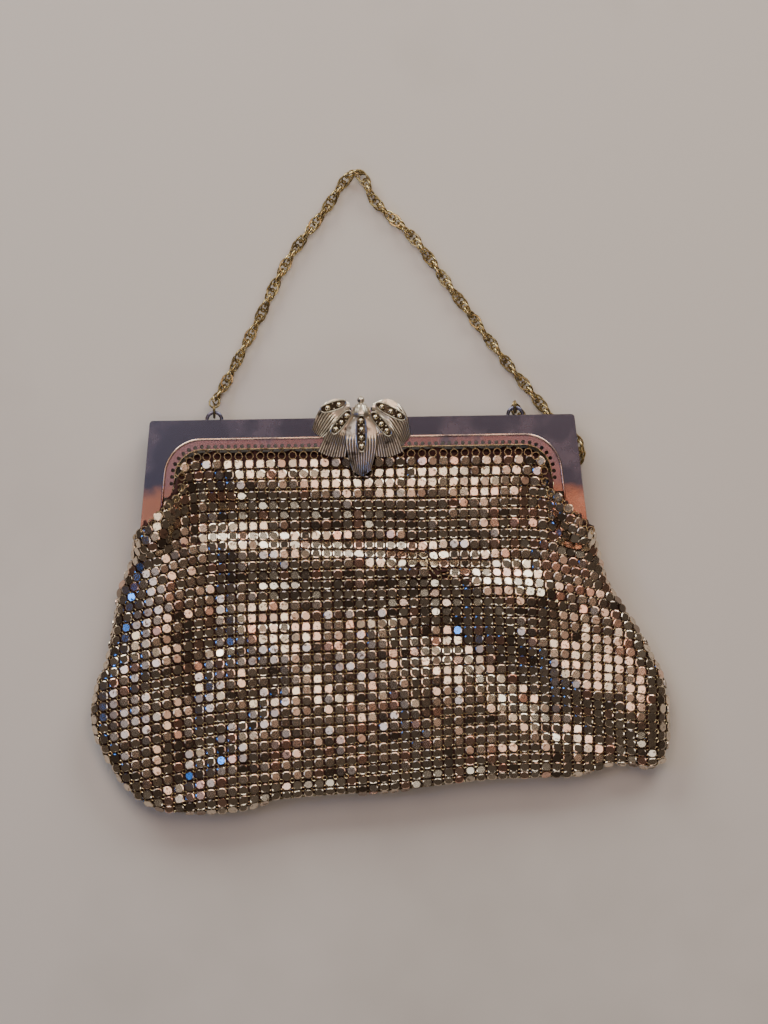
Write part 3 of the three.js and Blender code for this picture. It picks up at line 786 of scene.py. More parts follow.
class MouthFrame:
    """The two hinged halves of the metal mouth frame."""

    def __init__(self, sizes: FrameSizes) -> None:
        """Keeps the sizes.

        Args:
            sizes: Sizes of the frame.
        """
        self.sizes = sizes

    def ribbon(
        self, outer: np.ndarray, inner: np.ndarray, low: float, high: float, bevel: float = 0.0
    ) -> Shape:
        """Makes a flat strip between two lines.

        Args:
            outer: Outer line.
            inner: Inner line with as many points.
            low: Height of the underside.
            high: Height of the top.
            bevel: Width of the rounding of all its edges.

        Returns:
            The strip.
        """
        mesh = bpy.data.meshes.new("ribbon")
        many = len(outer)
        points = [(x, y, low) for x, y in np.vstack([outer, inner])]
        mesh.from_pydata(points, [], [(i, i + 1, many + i + 1, many + i) for i in range(many - 1)])
        made = bpy.data.objects.new("ribbon", mesh)
        bpy.context.collection.objects.link(made)
        edit(made)
        bpy.ops.mesh.extrude_region_move(TRANSFORM_OT_translate={"value": (0, 0, high - low)})
        if bevel:
            bpy.ops.mesh.select_all(action="DESELECT")
            bpy.ops.mesh.edges_select_sharp(sharpness=math.radians(50))
            bpy.ops.mesh.bevel(offset=bevel, segments=3, affect="EDGES", clamp_overlap=True)
        leave()
        return taken(made)

    def bead(self, foot: float) -> Shape:
        """Makes the raised bead along the inner edge of the band.

        Args:
            foot: How far its ends are below the top edge.

        Returns:
            The bead.
        """
        s = self.sizes
        path = s.line(s.band - s.bead / 2, s.inner_corner + s.bead / 2, foot)
        high = np.full(len(path), s.depth / 2 + s.bead_rise - s.bead / 2)
        return tube_shape(np.column_stack([path, high]), s.bead / 2, 32)

    def flange(self) -> Shape:
        """Makes the pierced flange.

        Returns:
            The flange with its row of round holes.
        """
        s = self.sizes
        top = s.flange_top
        foot = s.flange_foot + s.flange_more
        plate = self.ribbon(
            s.line(s.band - 0.25, s.inner_corner + 0.25, foot),
            s.line(s.band + s.flange, s.inner_corner - s.flange, foot),
            top - s.flange_sheet,
            top,
        )
        line = s.line(s.band + s.hole_inset, s.inner_corner - s.hole_inset, s.flange_foot - s.hole_inset)
        places = even_line(line, round(length_of(line) / s.hole_pitch))
        bpy.ops.mesh.primitive_cylinder_add(vertices=14, radius=s.hole, depth=3 * s.flange_sheet)
        punch = taken(bpy.context.object)
        middles = np.column_stack([places, np.full(len(places), top - s.flange_sheet / 2)])
        punches = punch.stamped(np.tile(np.eye(3), (len(middles), 1, 1)), middles)
        body, cutter = (self.plain(name, shape) for name, shape in (("flange", plate), ("punches", punches)))
        pick(body)
        cut = body.modifiers.new("holes", "BOOLEAN")
        cut.object = cutter
        cut.solver = "EXACT"
        bpy.ops.object.modifier_apply(modifier="holes")
        bpy.data.objects.remove(cutter)
        return taken(body)

    def plain(self, name: str, shape: Shape) -> bpy.types.Object:
        """Makes a working object whose mesh stays in millimetres.

        Args:
            name: Name of the object.
            shape: The mesh.

        Returns:
            The object.
        """
        mesh = bpy.data.meshes.new(name)
        starts = np.concatenate([[0], np.cumsum(shape.counts)])
        faces = [tuple(shape.corners[a:b].tolist()) for a, b in zip(starts, starts[1:])]
        mesh.from_pydata(shape.vertices.tolist(), [], faces)
        made = bpy.data.objects.new(name, mesh)
        bpy.context.collection.objects.link(made)
        return made

    def half(self) -> tuple[Shape, np.ndarray]:
        """Makes one half, its face up and the middle plane at height 0.

        Returns:
            The half, and the tone of each of its points.
        """
        s = self.sizes
        top = s.depth / 2
        foot = s.hinge_drop + s.ear
        wall_foot = s.hinge_drop - s.ear - s.gap
        outer_wall = (
            s.line(s.wall_step, s.outer_corner, wall_foot),
            s.line(s.sheet, s.outer_corner - 0.5, wall_foot),
        )
        inner_wall = (
            s.line(s.band - s.sheet, s.inner_corner + s.sheet, foot),
            s.line(s.band - s.wall_step, s.inner_corner, foot),
        )
        face = (s.line(0, s.outer_corner, s.hinge_drop), s.line(s.band, s.inner_corner, foot))
        parts = [
            self.ribbon(*face, top - s.sheet, top, s.bevel),
            self.ribbon(*outer_wall, s.gap / 2, top - 0.35),
            self.ribbon(*inner_wall, s.flange_top - s.flange_sheet, top - 0.3),
            self.bead(foot),
            self.flange(),
        ]
        # Band and outer wall take a painted dark reflection, inner wall and flange a painted pink reflection,
        # the bead a painted highlight
        codes = (BAND_PAINTED_REFLECTION, BAND_PAINTED_REFLECTION, FLANGE_PAINTED_REFLECTION, BEAD_PAINTED_HIGHLIGHT, FLANGE_PAINTED_REFLECTION)
        tones = [self.tone(part, code) for part, code in zip(parts, codes)]
        # The flange's underside takes a near-black painted shade
        tones[-1][parts[-1].vertices[:, 2] < s.flange_top - s.flange_sheet / 2] = linear(SHADE_TONE)
        return joined(parts), np.vstack(tones)

    def tone(self, shape: Shape, code: str) -> np.ndarray:
        """Gives all the points of a shape one tone.

        Args:
            shape: The shape.
            code: The colour code.

        Returns:
            One colour a row.
        """
        return np.tile(linear(code), (len(shape.vertices), 1))

    def ear_shape(self, low: float) -> Shape:
        """Makes a hinge ear.

        Args:
            low: Where its lower side is along X.

        Returns:
            The ear, in the frame's heights.
        """
        s = self.sizes
        angle = np.linspace(math.pi, 2 * math.pi, 13)
        outline = np.stack([-s.hinge_drop + s.ear * np.cos(angle), s.ear * np.sin(angle)], axis=1)
        top = s.depth / 2 - s.sheet + 0.2
        outline = np.vstack([outline, [-s.hinge_drop + s.ear, top], [-s.hinge_drop - s.ear, top]])
        made = slab(outline, low, low + s.sheet)
        made.vertices = made.vertices[:, [2, 0, 1]]
        return made

    def pieces(self) -> list[Piece]:
        """Makes both halves with bails, lugs and the catch stud.

        Returns:
            The two pieces.
        """
        s = self.sizes
        half, tones = self.half()
        hinge = s.width / 2 + s.hinge_drop * math.tan(s.flare)
        reach = s.ear_reach
        place = (s.clasp_middle, -s.stud_drop, s.stud_height)
        bpy.ops.mesh.primitive_cylinder_add(vertices=24, radius=s.stud, depth=s.stud_sheet, location=place)
        pick(bpy.context.object)
        bpy.ops.object.transform_apply()
        stud = taken(bpy.context.object)
        front_parts = [self.ear_shape(hinge - reach - s.sheet), self.ear_shape(-hinge + reach), stud]
        front = joined([half, *front_parts])
        inner = reach + s.sheet + s.gap
        back = joined([half, self.ear_shape(hinge - inner - s.sheet), self.ear_shape(-hinge + inner)])
        back = Shape(back.vertices * [-1, 1, -1], back.corners, back.counts)
        bails = []
        angle = np.linspace(0, math.pi, 13)
        for x in s.bails:
            arch = [x + s.bail * np.cos(angle), s.bail * np.sin(angle) + 0.1, np.full(13, -s.bail_depth)]
            bails.append(tube_shape(np.stack(arch, axis=1), s.bail_wire, 10))
        angle = np.linspace(-math.pi / 2, math.pi / 2, 13)
        round_end = np.stack(
            [s.lug_out + s.lug * np.cos(angle), -s.lug_back + s.lug * np.sin(angle)], axis=1
        )
        sunk = 0.25
        foot = [[-sunk, s.lug - s.lug_back], [-sunk, -s.lug - s.lug_back]]
        for low in (s.clasp_middle + s.lug_inner, s.clasp_middle - s.lug_inner - s.lug_sheet):
            lug = slab(np.vstack([round_end, foot]), low, low + s.lug_sheet)
            lug.vertices = lug.vertices[:, [2, 0, 1]]
            bails.append(lug)
        back = joined([back, *bails])
        colours = []
        # Ears, stud, bails and lugs take the band's painted dark reflection tone
        for shape in (front, back):
            rest = np.tile(linear(BAND_PAINTED_REFLECTION), (len(shape.vertices) - len(tones), 1))
            colours.append(np.vstack([tones, rest]))
        lift = np.array([0, 0, s.middle])
        for shape in (front, back):
            shape.vertices = shape.vertices + lift
        return [
            Piece(f"{name}_polished", shape, FRAME_METAL, Body.PURSE, Slot.FRAME, (name,), 12, tint)
            for name, shape, tint in zip(("frame_front", "frame_back"), (front, back), colours)
        ]


# Petal clasp


@dataclass(frozen=True)
class Petal:
    """One petal of the clasp, with the bar that holds its stones.

    Attributes:
        left: Points of one side from root to tip.
        right: Points of the other side.
        flutes: Number of flutes.
        tier: Layer, counted from the back.
        bulge: How far the tip bulges out.
        bar: Ends of the stone bar.
        stones: Number of stones.
        half: Half the width of the bar.
    """

    left: tuple[tuple[float, float], ...]
    right: tuple[tuple[float, float], ...]
    flutes: int
    tier: int
    bulge: float
    bar: tuple[tuple[float, float], tuple[float, float]]
    stones: int
    half: float = 1.75


PETALS = (
    Petal(
        ((-4.2, 5.6), (-8.8, 7.0), (-13.4, 5.2), (-16.2, 1.2), (-17.9, -3.8)),
        ((-3.9, 2.6), (-7.0, 0.0), (-9.6, -3.0), (-11.8, -5.4), (-13.6, -6.8)),
        8, 0, 0.6, ((-6.02, 5.49), (-14.16, 3.01)), 2,
    ),
    Petal(
        ((3.9, 2.2), (7.0, -0.6), (9.8, -3.6), (12.2, -7.0), (14.2, -9.8)),
        ((4.4, 5.2), (9.6, 6.6), (13.8, 4.6), (16.6, 0.6), (18.0, -6.2)),
        8, 0, 0.6, ((6.02, 4.6), (15.58, -0.53)), 3,
    ),
    Petal(
        ((-5.2, 2.6), (-9.8, -1.6), (-13.0, -6.0), (-15.9, -11.8)),
        ((-2.6, 0.2), (-4.2, -4.5), (-4.9, -8.5), (-5.6, -13.8)),
        11, 1, 1.1, ((-4.25, 1.95), (-10.27, -5.31)), 3,
    ),
    Petal(
        ((2.6, 0.2), (4.0, -4.5), (4.5, -8.5), (4.9, -13.9)),
        ((5.3, 2.4), (10.2, -2.0), (13.2, -6.9), (15.2, -12.2)),
        11, 1, 1.1, ((4.25, 1.24), (10.27, -6.37)), 3,
    ),
    Petal(
        ((-1.9, 1.2), (-4.9, -2.5), (-5.9, -8.0), (-5.2, -13.6), (-3.6, -18.8)),
        ((1.9, 1.2), (4.9, -2.5), (5.7, -8.0), (5.0, -13.6), (3.4, -18.8)),
        11, 2, 2.1, ((0.0, 0.35), (0.0, -12.04)), 4, 1.95,
    ),
)


@dataclass
class ClaspSizes:
    """Sizes of the clasp in millimetres."""

    middle: float = -0.3
    low: float = 5.65
    sheet: float = 1.0
    tier: float = 0.7
    flute: float = 0.5
    dome: float = 0.75
    bar_rise: float = 1.1
    recess: float = 0.42
    rim: float = 0.3
    prong: float = 0.3
    leg: float = 6.4
    pivot_out: float = 2.1
    pivot_back: float = 2.0
    barrel: float = 1.7
    flatness: float = 0.8
    stone: float = 1.2
    stone_flatness: float = 0.8
    stone_rise: float = 0.12
    bar_end: float = 0.7
    rim_drop: float = 0.28
    wall_drop: float = 0.5
    prong_drop: float = 0.1
    prong_out: float = 0.95
    ribs: int = 5
    rib_depth: float = 0.06
    rib_end: float = 4.6
    collar_end: float = 4.95


# Tones of the clasp's ridges, of the rims round its stones and of what is sunk; the sunk tone is also the
# painted shade on the undersides of the petals
CAST_TONE = "#e6decd"
RIM_TONE = "#ded6c4"
RECESS_AND_SHADE_TONE = "#3a332a"


# Radius and height up the purse of each section of the bell collar, the neck and the ball
FINIAL_PROFILE = (
    (0.0, 0.4), (3.1, 0.5), (3.5, 0.9), (3.55, 1.3), (3.4, 1.9), (2.95, 3.0), (2.4, 3.9), (2.1, 4.5),
    (1.6, 4.9), (0.9, 5.0), (0.8, 5.3), (0.9, 5.4), (1.22, 5.75), (1.4, 6.35), (1.25, 6.95),
    (0.8, 7.5), (0.0, 7.75),
)


class PetalClasp:
    """The cast ornament: five fluted petals, bars for the stones, a bell collar and a ball."""

    def __init__(self, sizes: ClaspSizes, mouth: FrameSizes) -> None:
        """Keeps the sizes.

        Args:
            sizes: Sizes of the clasp.
            mouth: Sizes of the frame that it lies on.
        """
        self.sizes = sizes
        self.low = mouth.middle + sizes.low
        self.mouth = mouth

    def leaf(self, petal: Petal) -> tuple[Shape, np.ndarray]:
        """Makes the fluted leaf of a petal.

        Args:
            petal: The petal.

        Returns:
            The leaf, and the tone of each of its points.
        """
        s = self.sizes
        rows, columns = 30, 6 * petal.flutes + 1
        across, down = np.linspace(0, 1, columns)[None, :, None], np.linspace(0, 1, rows)[:, None, None]
        left, right = smooth_line(petal.left, rows)[:, None], smooth_line(petal.right, rows)[:, None]
        flat = lerp(left, right, across)
        run = (left[-1] - left[-4] + right[-1] - right[-4])[0]
        run /= np.linalg.norm(run)
        wave = np.abs(np.sin(math.pi * petal.flutes * across))
        flat = flat + run * (petal.bulge * 4 * across * (1 - across) * down**2 + 0.3 * wave * down**8)
        grown = smooth((down - 0.38) / 0.2)
        dome = s.dome * (1 - (2 * across - 1) ** 2) * (1 - 0.75 * down)
        height = s.sheet * 0.55 + dome + s.flute * wave * grown * (1 - 0.3 * down)
        base = self.low + petal.tier * s.tier
        upper = np.concatenate([flat, base + height], axis=2)
        lower = np.concatenate([flat, np.full_like(height, self.low)], axis=2)
        made = between_sheets(upper, lower)
        bright = lerp(np.ones_like(height), wave**0.7 + 0 * height, grown)[..., 0]
        tones = lerp(np.array(linear(RECESS_AND_SHADE_TONE)), np.array(linear(CAST_TONE)), bright.reshape(-1, 1))
        # The underside of each petal takes the sunk tone as painted shade
        return made, np.vstack([tones, np.tile(linear(RECESS_AND_SHADE_TONE), (len(tones), 1))])

    def bar(self, petal: Petal) -> list[tuple[Shape, str]]:
        """Makes the bar of a petal with its rim and the prongs between the stones.

        Args:
            petal: The petal.

        Returns:
            The parts of the bar with their tones.
        """
        s = self.sizes
        start, end = np.array(petal.bar[0]), np.array(petal.bar[1])
        run = end - start
        length = float(np.linalg.norm(run))
        run /= length
        side = np.array([-run[1], run[0]])
        t = np.linspace(0, 2 * math.pi, 48, endpoint=False)
        along = length / 2 + (length / 2 + s.bar_end) * np.sign(np.cos(t)) * np.abs(np.cos(t)) ** 0.8
        half = petal.half * np.sign(np.sin(t)) * np.abs(np.sin(t)) ** 0.75
        outline = start + along[:, None] * run + half[:, None] * side
        top = self.low + petal.tier * s.tier + s.sheet + s.bar_rise
        body = slab(outline, self.low, top - s.recess)
        rim = start + (length / 2 + (along - length / 2) * 0.97)[:, None] * run + half[:, None] * 0.93 * side
        ring, wall = (
            tube_shape(np.column_stack([rim, np.full(len(rim), top - drop)]), s.rim, 8, closed=True)
            for drop in (s.rim_drop, s.wall_drop)
        )
        bpy.ops.mesh.primitive_ico_sphere_add(subdivisions=2, radius=s.prong, location=(0, 0, 0))
        bead = taken(bpy.context.object)
        shares = np.arange(petal.stones + 1) / petal.stones
        shares = shares[1:-1] if petal.stones > 2 else shares[1:2]
        out = s.prong_out * side
        spots = [start + share * length * run + way * out for share in shares for way in (1, -1)]
        places = np.column_stack([np.array(spots), np.full(len(spots), top - s.prong_drop)])
        beads = bead.stamped(np.tile(np.eye(3), (len(places), 1, 1)), places)
        tones = (RECESS_AND_SHADE_TONE, RIM_TONE, RIM_TONE, RIM_TONE)
        return list(zip((body, outward(ring), outward(wall), beads), tones))

    def finial(self) -> list[Shape]:
        """Makes the bell collar, the neck and the ball.

        Returns:
            The turned parts.
        """
        s = self.sizes
        middle = self.low + s.sheet + s.tier
        profile = np.array(FINIAL_PROFILE)
        angle = np.linspace(0, 2 * math.pi, 48, endpoint=False)
        ribbed = (profile[:, 1] < s.rib_end)[:, None] * s.rib_depth * np.abs(np.sin(s.ribs * angle))[None]
        radius = profile[:, :1] * (1 - ribbed)
        flat = np.where(profile[:, 1] < s.collar_end, s.flatness, 1.0)[:, None]
        points = np.stack(
            [
                radius * np.cos(angle),
                np.repeat(profile[:, 1:], 48, axis=1),
                middle + radius * np.sin(angle) * flat,
            ],
            axis=-1,
        )
        return [outward(from_quads(points.reshape(-1, 3), grid_faces(len(profile), 48, closed=True)))]

    def leg(self) -> Shape:
        """Makes the arm that wraps over the frame's top edge to the hinge barrel.

        Returns:
            The arm.
        """
        s = self.sizes
        angle = np.linspace(math.pi, 2 * math.pi, 15)
        circle = np.stack(
            [s.pivot_out + s.barrel * np.cos(angle), -s.pivot_back + s.barrel * np.sin(angle)], axis=1
        )
        high = s.low + s.sheet * 0.8
        outline = np.vstack([circle, [s.pivot_out + s.barrel, high], [s.pivot_out - s.barrel, high]])
        made = slab(outline, -s.leg / 2, s.leg / 2)
        made.vertices = made.vertices[:, [2, 0, 1]] + [0, 0, self.mouth.middle]
        return made

    def pieces(self) -> list[Piece]:
        """Makes the ornament.

        Returns:
            The clasp.
        """
        parts = [self.leaf(petal) for petal in PETALS]
        plain = [piece for petal in PETALS for piece in self.bar(petal)]
        plain += [(shape, CAST_TONE) for shape in (*self.finial(), self.leg())]
        parts += [(shape, np.tile(linear(code), (len(shape.vertices), 1))) for shape, code in plain]
        whole = joined([shape for shape, _ in parts])
        whole.vertices = whole.vertices + [self.sizes.middle, 0, 0]
        tones = np.vstack([tone for _, tone in parts])
        return [
            Piece("clasp_ornament", whole, CAST_METAL, Body.CLASP, Slot.CLASP, ("clasp_shell",), 40, tones),
            self.stones(),
        ]

    def stones(self) -> Piece:
        """Makes the cut stones on their bars.

        Returns:
            All the stones.
        """
        s = self.sizes
        bpy.ops.mesh.primitive_ico_sphere_add(subdivisions=1, radius=s.stone, location=(0, 0, 0))
        cut = taken(bpy.context.object)
        cut.vertices[:, 2] *= s.stone_flatness
        random = np.random.default_rng(5)
        places = []
        for petal in PETALS:
            start, end = np.array(petal.bar[0]), np.array(petal.bar[1])
            top = self.low + petal.tier * s.tier + s.sheet + s.bar_rise
            shares = (np.arange(petal.stones) + 0.5) / petal.stones
            places += [[*(start + share * (end - start)), top - s.recess + s.stone_rise] for share in shares]
        turn, lean = random.uniform(0, 1.2, len(places)), random.normal(0, 0.12, (2, len(places)))
        turns = np.tile(np.eye(3), (len(places), 1, 1))
        turns[:, 0, 0], turns[:, 1, 1] = np.cos(turn), np.cos(turn)
        turns[:, 0, 1], turns[:, 1, 0] = -np.sin(turn), np.sin(turn)
        turns[:, 2, 0], turns[:, 2, 1] = lean
        whole = cut.stamped(turns, np.array(places) + [s.middle, 0, 0])
        names = tuple(f"stone_{k + 1:02d}" for k in range(len(places)))
        return Piece("clasp_stones", whole, STONE_METAL, Body.CLASP, Slot.STONE, names, None)


# Bag of plates


@dataclass(frozen=True)
class Fold:
    """A fold of the bag's front.

    Attributes:
        x1: Start of its line as a share of the bag's half width.
        y1: Start of its line as a share of the drop.
        x2: End of its line across.
        y2: End of its line down.
        rise: Height as a share of the bag's depth.
        above: Width of the slope above the line as a share of the drop.
        below: Width of the slope below the line.
    """

    x1: float
    y1: float
    x2: float
    y2: float
    rise: float
    above: float
    below: float


@dataclass(frozen=True)
class Lean:
    """A stretch of the front where the plates lean together.

    Attributes:
        x1: Start of its line, from the middle of the purse in millimetres.
        y1: Start of its line, up from the frame's top edge.
        x2: End of its line across.
        y2: End of its line up.
        half: Half its width.
        turn: Angle of the plates in degrees, positive when they face up.
        copper_wear_and_reflection: Share of plates given the coppery tone on top of the usual one, a painted
            salmon reflection.
    """

    x1: float
    y1: float
    x2: float
    y2: float
    half: float
    turn: float
    copper_wear_and_reflection: float = 0.0

    def weight(self, spots: np.ndarray) -> np.ndarray:
        """Weighs how much spots belong to the stretch.

        Args:
            spots: Places in the plane, one a row.

        Returns:
            1 in the stretch, 0 away from it.
        """
        line = np.array([(self.x1, self.y1), (self.x2, self.y2)])
        return np.exp(-((distance_to(spots, line) / self.half) ** 4))


@dataclass
class BagSizes:
    """Sizes of the bag in millimetres."""

    half: float = 105.8
    drop: float = 143.8
    depth: float = 12.8
    edge_height: float = 7.0
    edge_round: float = 9.0
    hinge_round: float = 2.6
    over_arm: float = 1.9
    wall: float = 1.2
    columns: int = 62
    rows: int = 40
    fan_rows: float = 16.0
    slope_share: float = 0.45
    slope_loss: float = 0.6
    slope_rows: float = 20.0
    lean: float = 0.085
    settling: int = 140
    pitch_across: float = 3.94
    pitch_down: float = 3.85
    plate: float = 3.38
    plate_sheet: float = 0.34
    tilt: float = 3.2
    shared_tilt: float = 2.2
    first_row: float = 2.1
    hoop: float = 1.35
    hoop_wire: float = 0.2
    ring: float = 0.8
    ring_wire: float = 0.21
    ring_depth: float = 0.34
    squareness: float = 2.7
    lining_gap: float = 0.45
    lacing_wire: float = 0.24
    lacing_rise: float = 0.25
    lacing_inset: float = 0.2
    hook_wire: float = 0.17
    hook_half: float = 0.55
    hook_reach: float = 4.2
    ring_row: float = 2.9
    rim_slope: float = 15.0
    rim_width: float = 0.36


SIDE_EDGES = (
    (0.796, 0.285, 0.796, 0.285),
    (0.81, 0.352, 0.811, 0.345),
    (0.852, 0.428, 0.842, 0.43),
    (0.866, 0.49, 0.892, 0.484),
    (0.897, 0.6, 0.973, 0.585),
    (0.928, 0.654, 1.022, 0.655),
    (0.956, 0.737, 1.044, 0.73),
    (0.943, 0.8, 1.045, 0.8),
    (0.903, 0.862, 1.04, 0.85),
    (0.846, 0.928, 1.023, 0.89),
)
BOTTOM_EDGE = (
    (-0.846, 0.928),
    (-0.79, 0.968),
    (-0.72, 0.99),
    (-0.62, 1.0),
    (-0.47, 0.996),
    (-0.3, 0.969),
    (-0.13, 0.96),
    (0.04, 0.955),
    (0.23, 0.941),
    (0.4, 0.926),
    (0.59, 0.923),
    (0.74, 0.917),
    (0.82, 0.897),
    (0.855, 0.889),
    (0.91, 0.894),
    (0.97, 0.905),
    (1.023, 0.89),
)
FOLDS = (
    Fold(-0.42, 0.165, 0.5, 0.2, 0.2, 0.05, 0.06),
    Fold(-0.5, 0.25, 0.54, 0.36, -0.22, 0.045, 0.045),
    Fold(-0.52, 0.32, 0.19, 0.39, 0.24, 0.035, 0.07),
    Fold(0.19, 0.39, 0.6, 0.46, 0.24, 0.035, 0.06),
    Fold(-0.36, 0.45, 0.27, 0.54, -0.16, 0.04, 0.09),
    Fold(0.27, 0.54, 0.87, 0.88, -0.3, 0.05, 0.09),
    Fold(0.4, 0.45, 0.93, 0.8, 0.26, 0.09, 0.05),
    Fold(-0.56, 0.19, -0.5, 0.56, -0.16, 0.04, 0.04),
    Fold(-0.7, 0.3, -0.72, 0.62, 0.12, 0.06, 0.06),
    Fold(-0.55, 0.58, -0.66, 0.92, -0.18, 0.045, 0.045),
    Fold(-0.34, 0.68, -0.56, 0.84, -0.16, 0.04, 0.04),
    Fold(0.06, 0.56, 0.24, 0.84, 0.12, 0.045, 0.045),
    Fold(0.3, 0.64, 0.64, 0.85, 0.13, 0.045, 0.045),
    Fold(-0.1, 0.12, 0.1, 0.12, -0.1, 0.06, 0.06),
)


# Stretches where the plates lean; the last column adds coppery plates as a painted salmon reflection
LEANS = (
    Lean(-26, -22, 64, -22, 5, 6),
    Lean(-46, -20, -32, -20, 5, 3),
    Lean(-70, -24, -62, -36, 7, -5),
    Lean(-44, -33, -10, -36, 5, -6),
    Lean(-10, -38, 14, -42, 7, -6),
    Lean(14, -40, 52, -38, 9, -7),
    Lean(-56, -41, -26, -45, 4.5, 8),
    Lean(-26, -47, 14, -56, 3, 6),
    Lean(14, -57.5, 50, -59, 3.5, 7),
    Lean(60, -33, 76, -52, 9, 4, 0.35),
    Lean(54, -58.5, 86, -62, 5, 6, 0.2),
    Lean(81, -68, 88, -104, 13, 7),
    Lean(-2, -61, 21, -70, 5, -7),
    Lean(20, -68, 40, -76, 6, -9),
    Lean(40, -76, 72, -99, 7, -9),
    Lean(72, -99, 91, -124, 7, -9),
    Lean(-50, -56, -14, -62, 6, -4),
    Lean(-58, -70, -30, -77, 5, -6),
    Lean(-70, -66, -60, -76, 6, 6),
    Lean(-20, -76, 12, -84, 6, 6, 0.2),
    Lean(-50, -92, -10, -98, 6, -4),
    Lean(-48, -121, 12, -122, 6, 5, 0.25),
    Lean(24, -102, 32, -124, 6, 7),
    Lean(40, -112, 60, -116, 6, 4),
    Lean(-74, -140, -44, -141, 5, -8),
    Lean(-44, -141, 72, -130, 5, -8),
)


# Tones of a cream, a pale, a coppery and a dull plate; the coppery tone is partly wear and partly a painted
# salmon reflection
PLATE_TONES = ("#e8d9c4", "#cdc2b2", "#e2b6a2", "#8e8074")


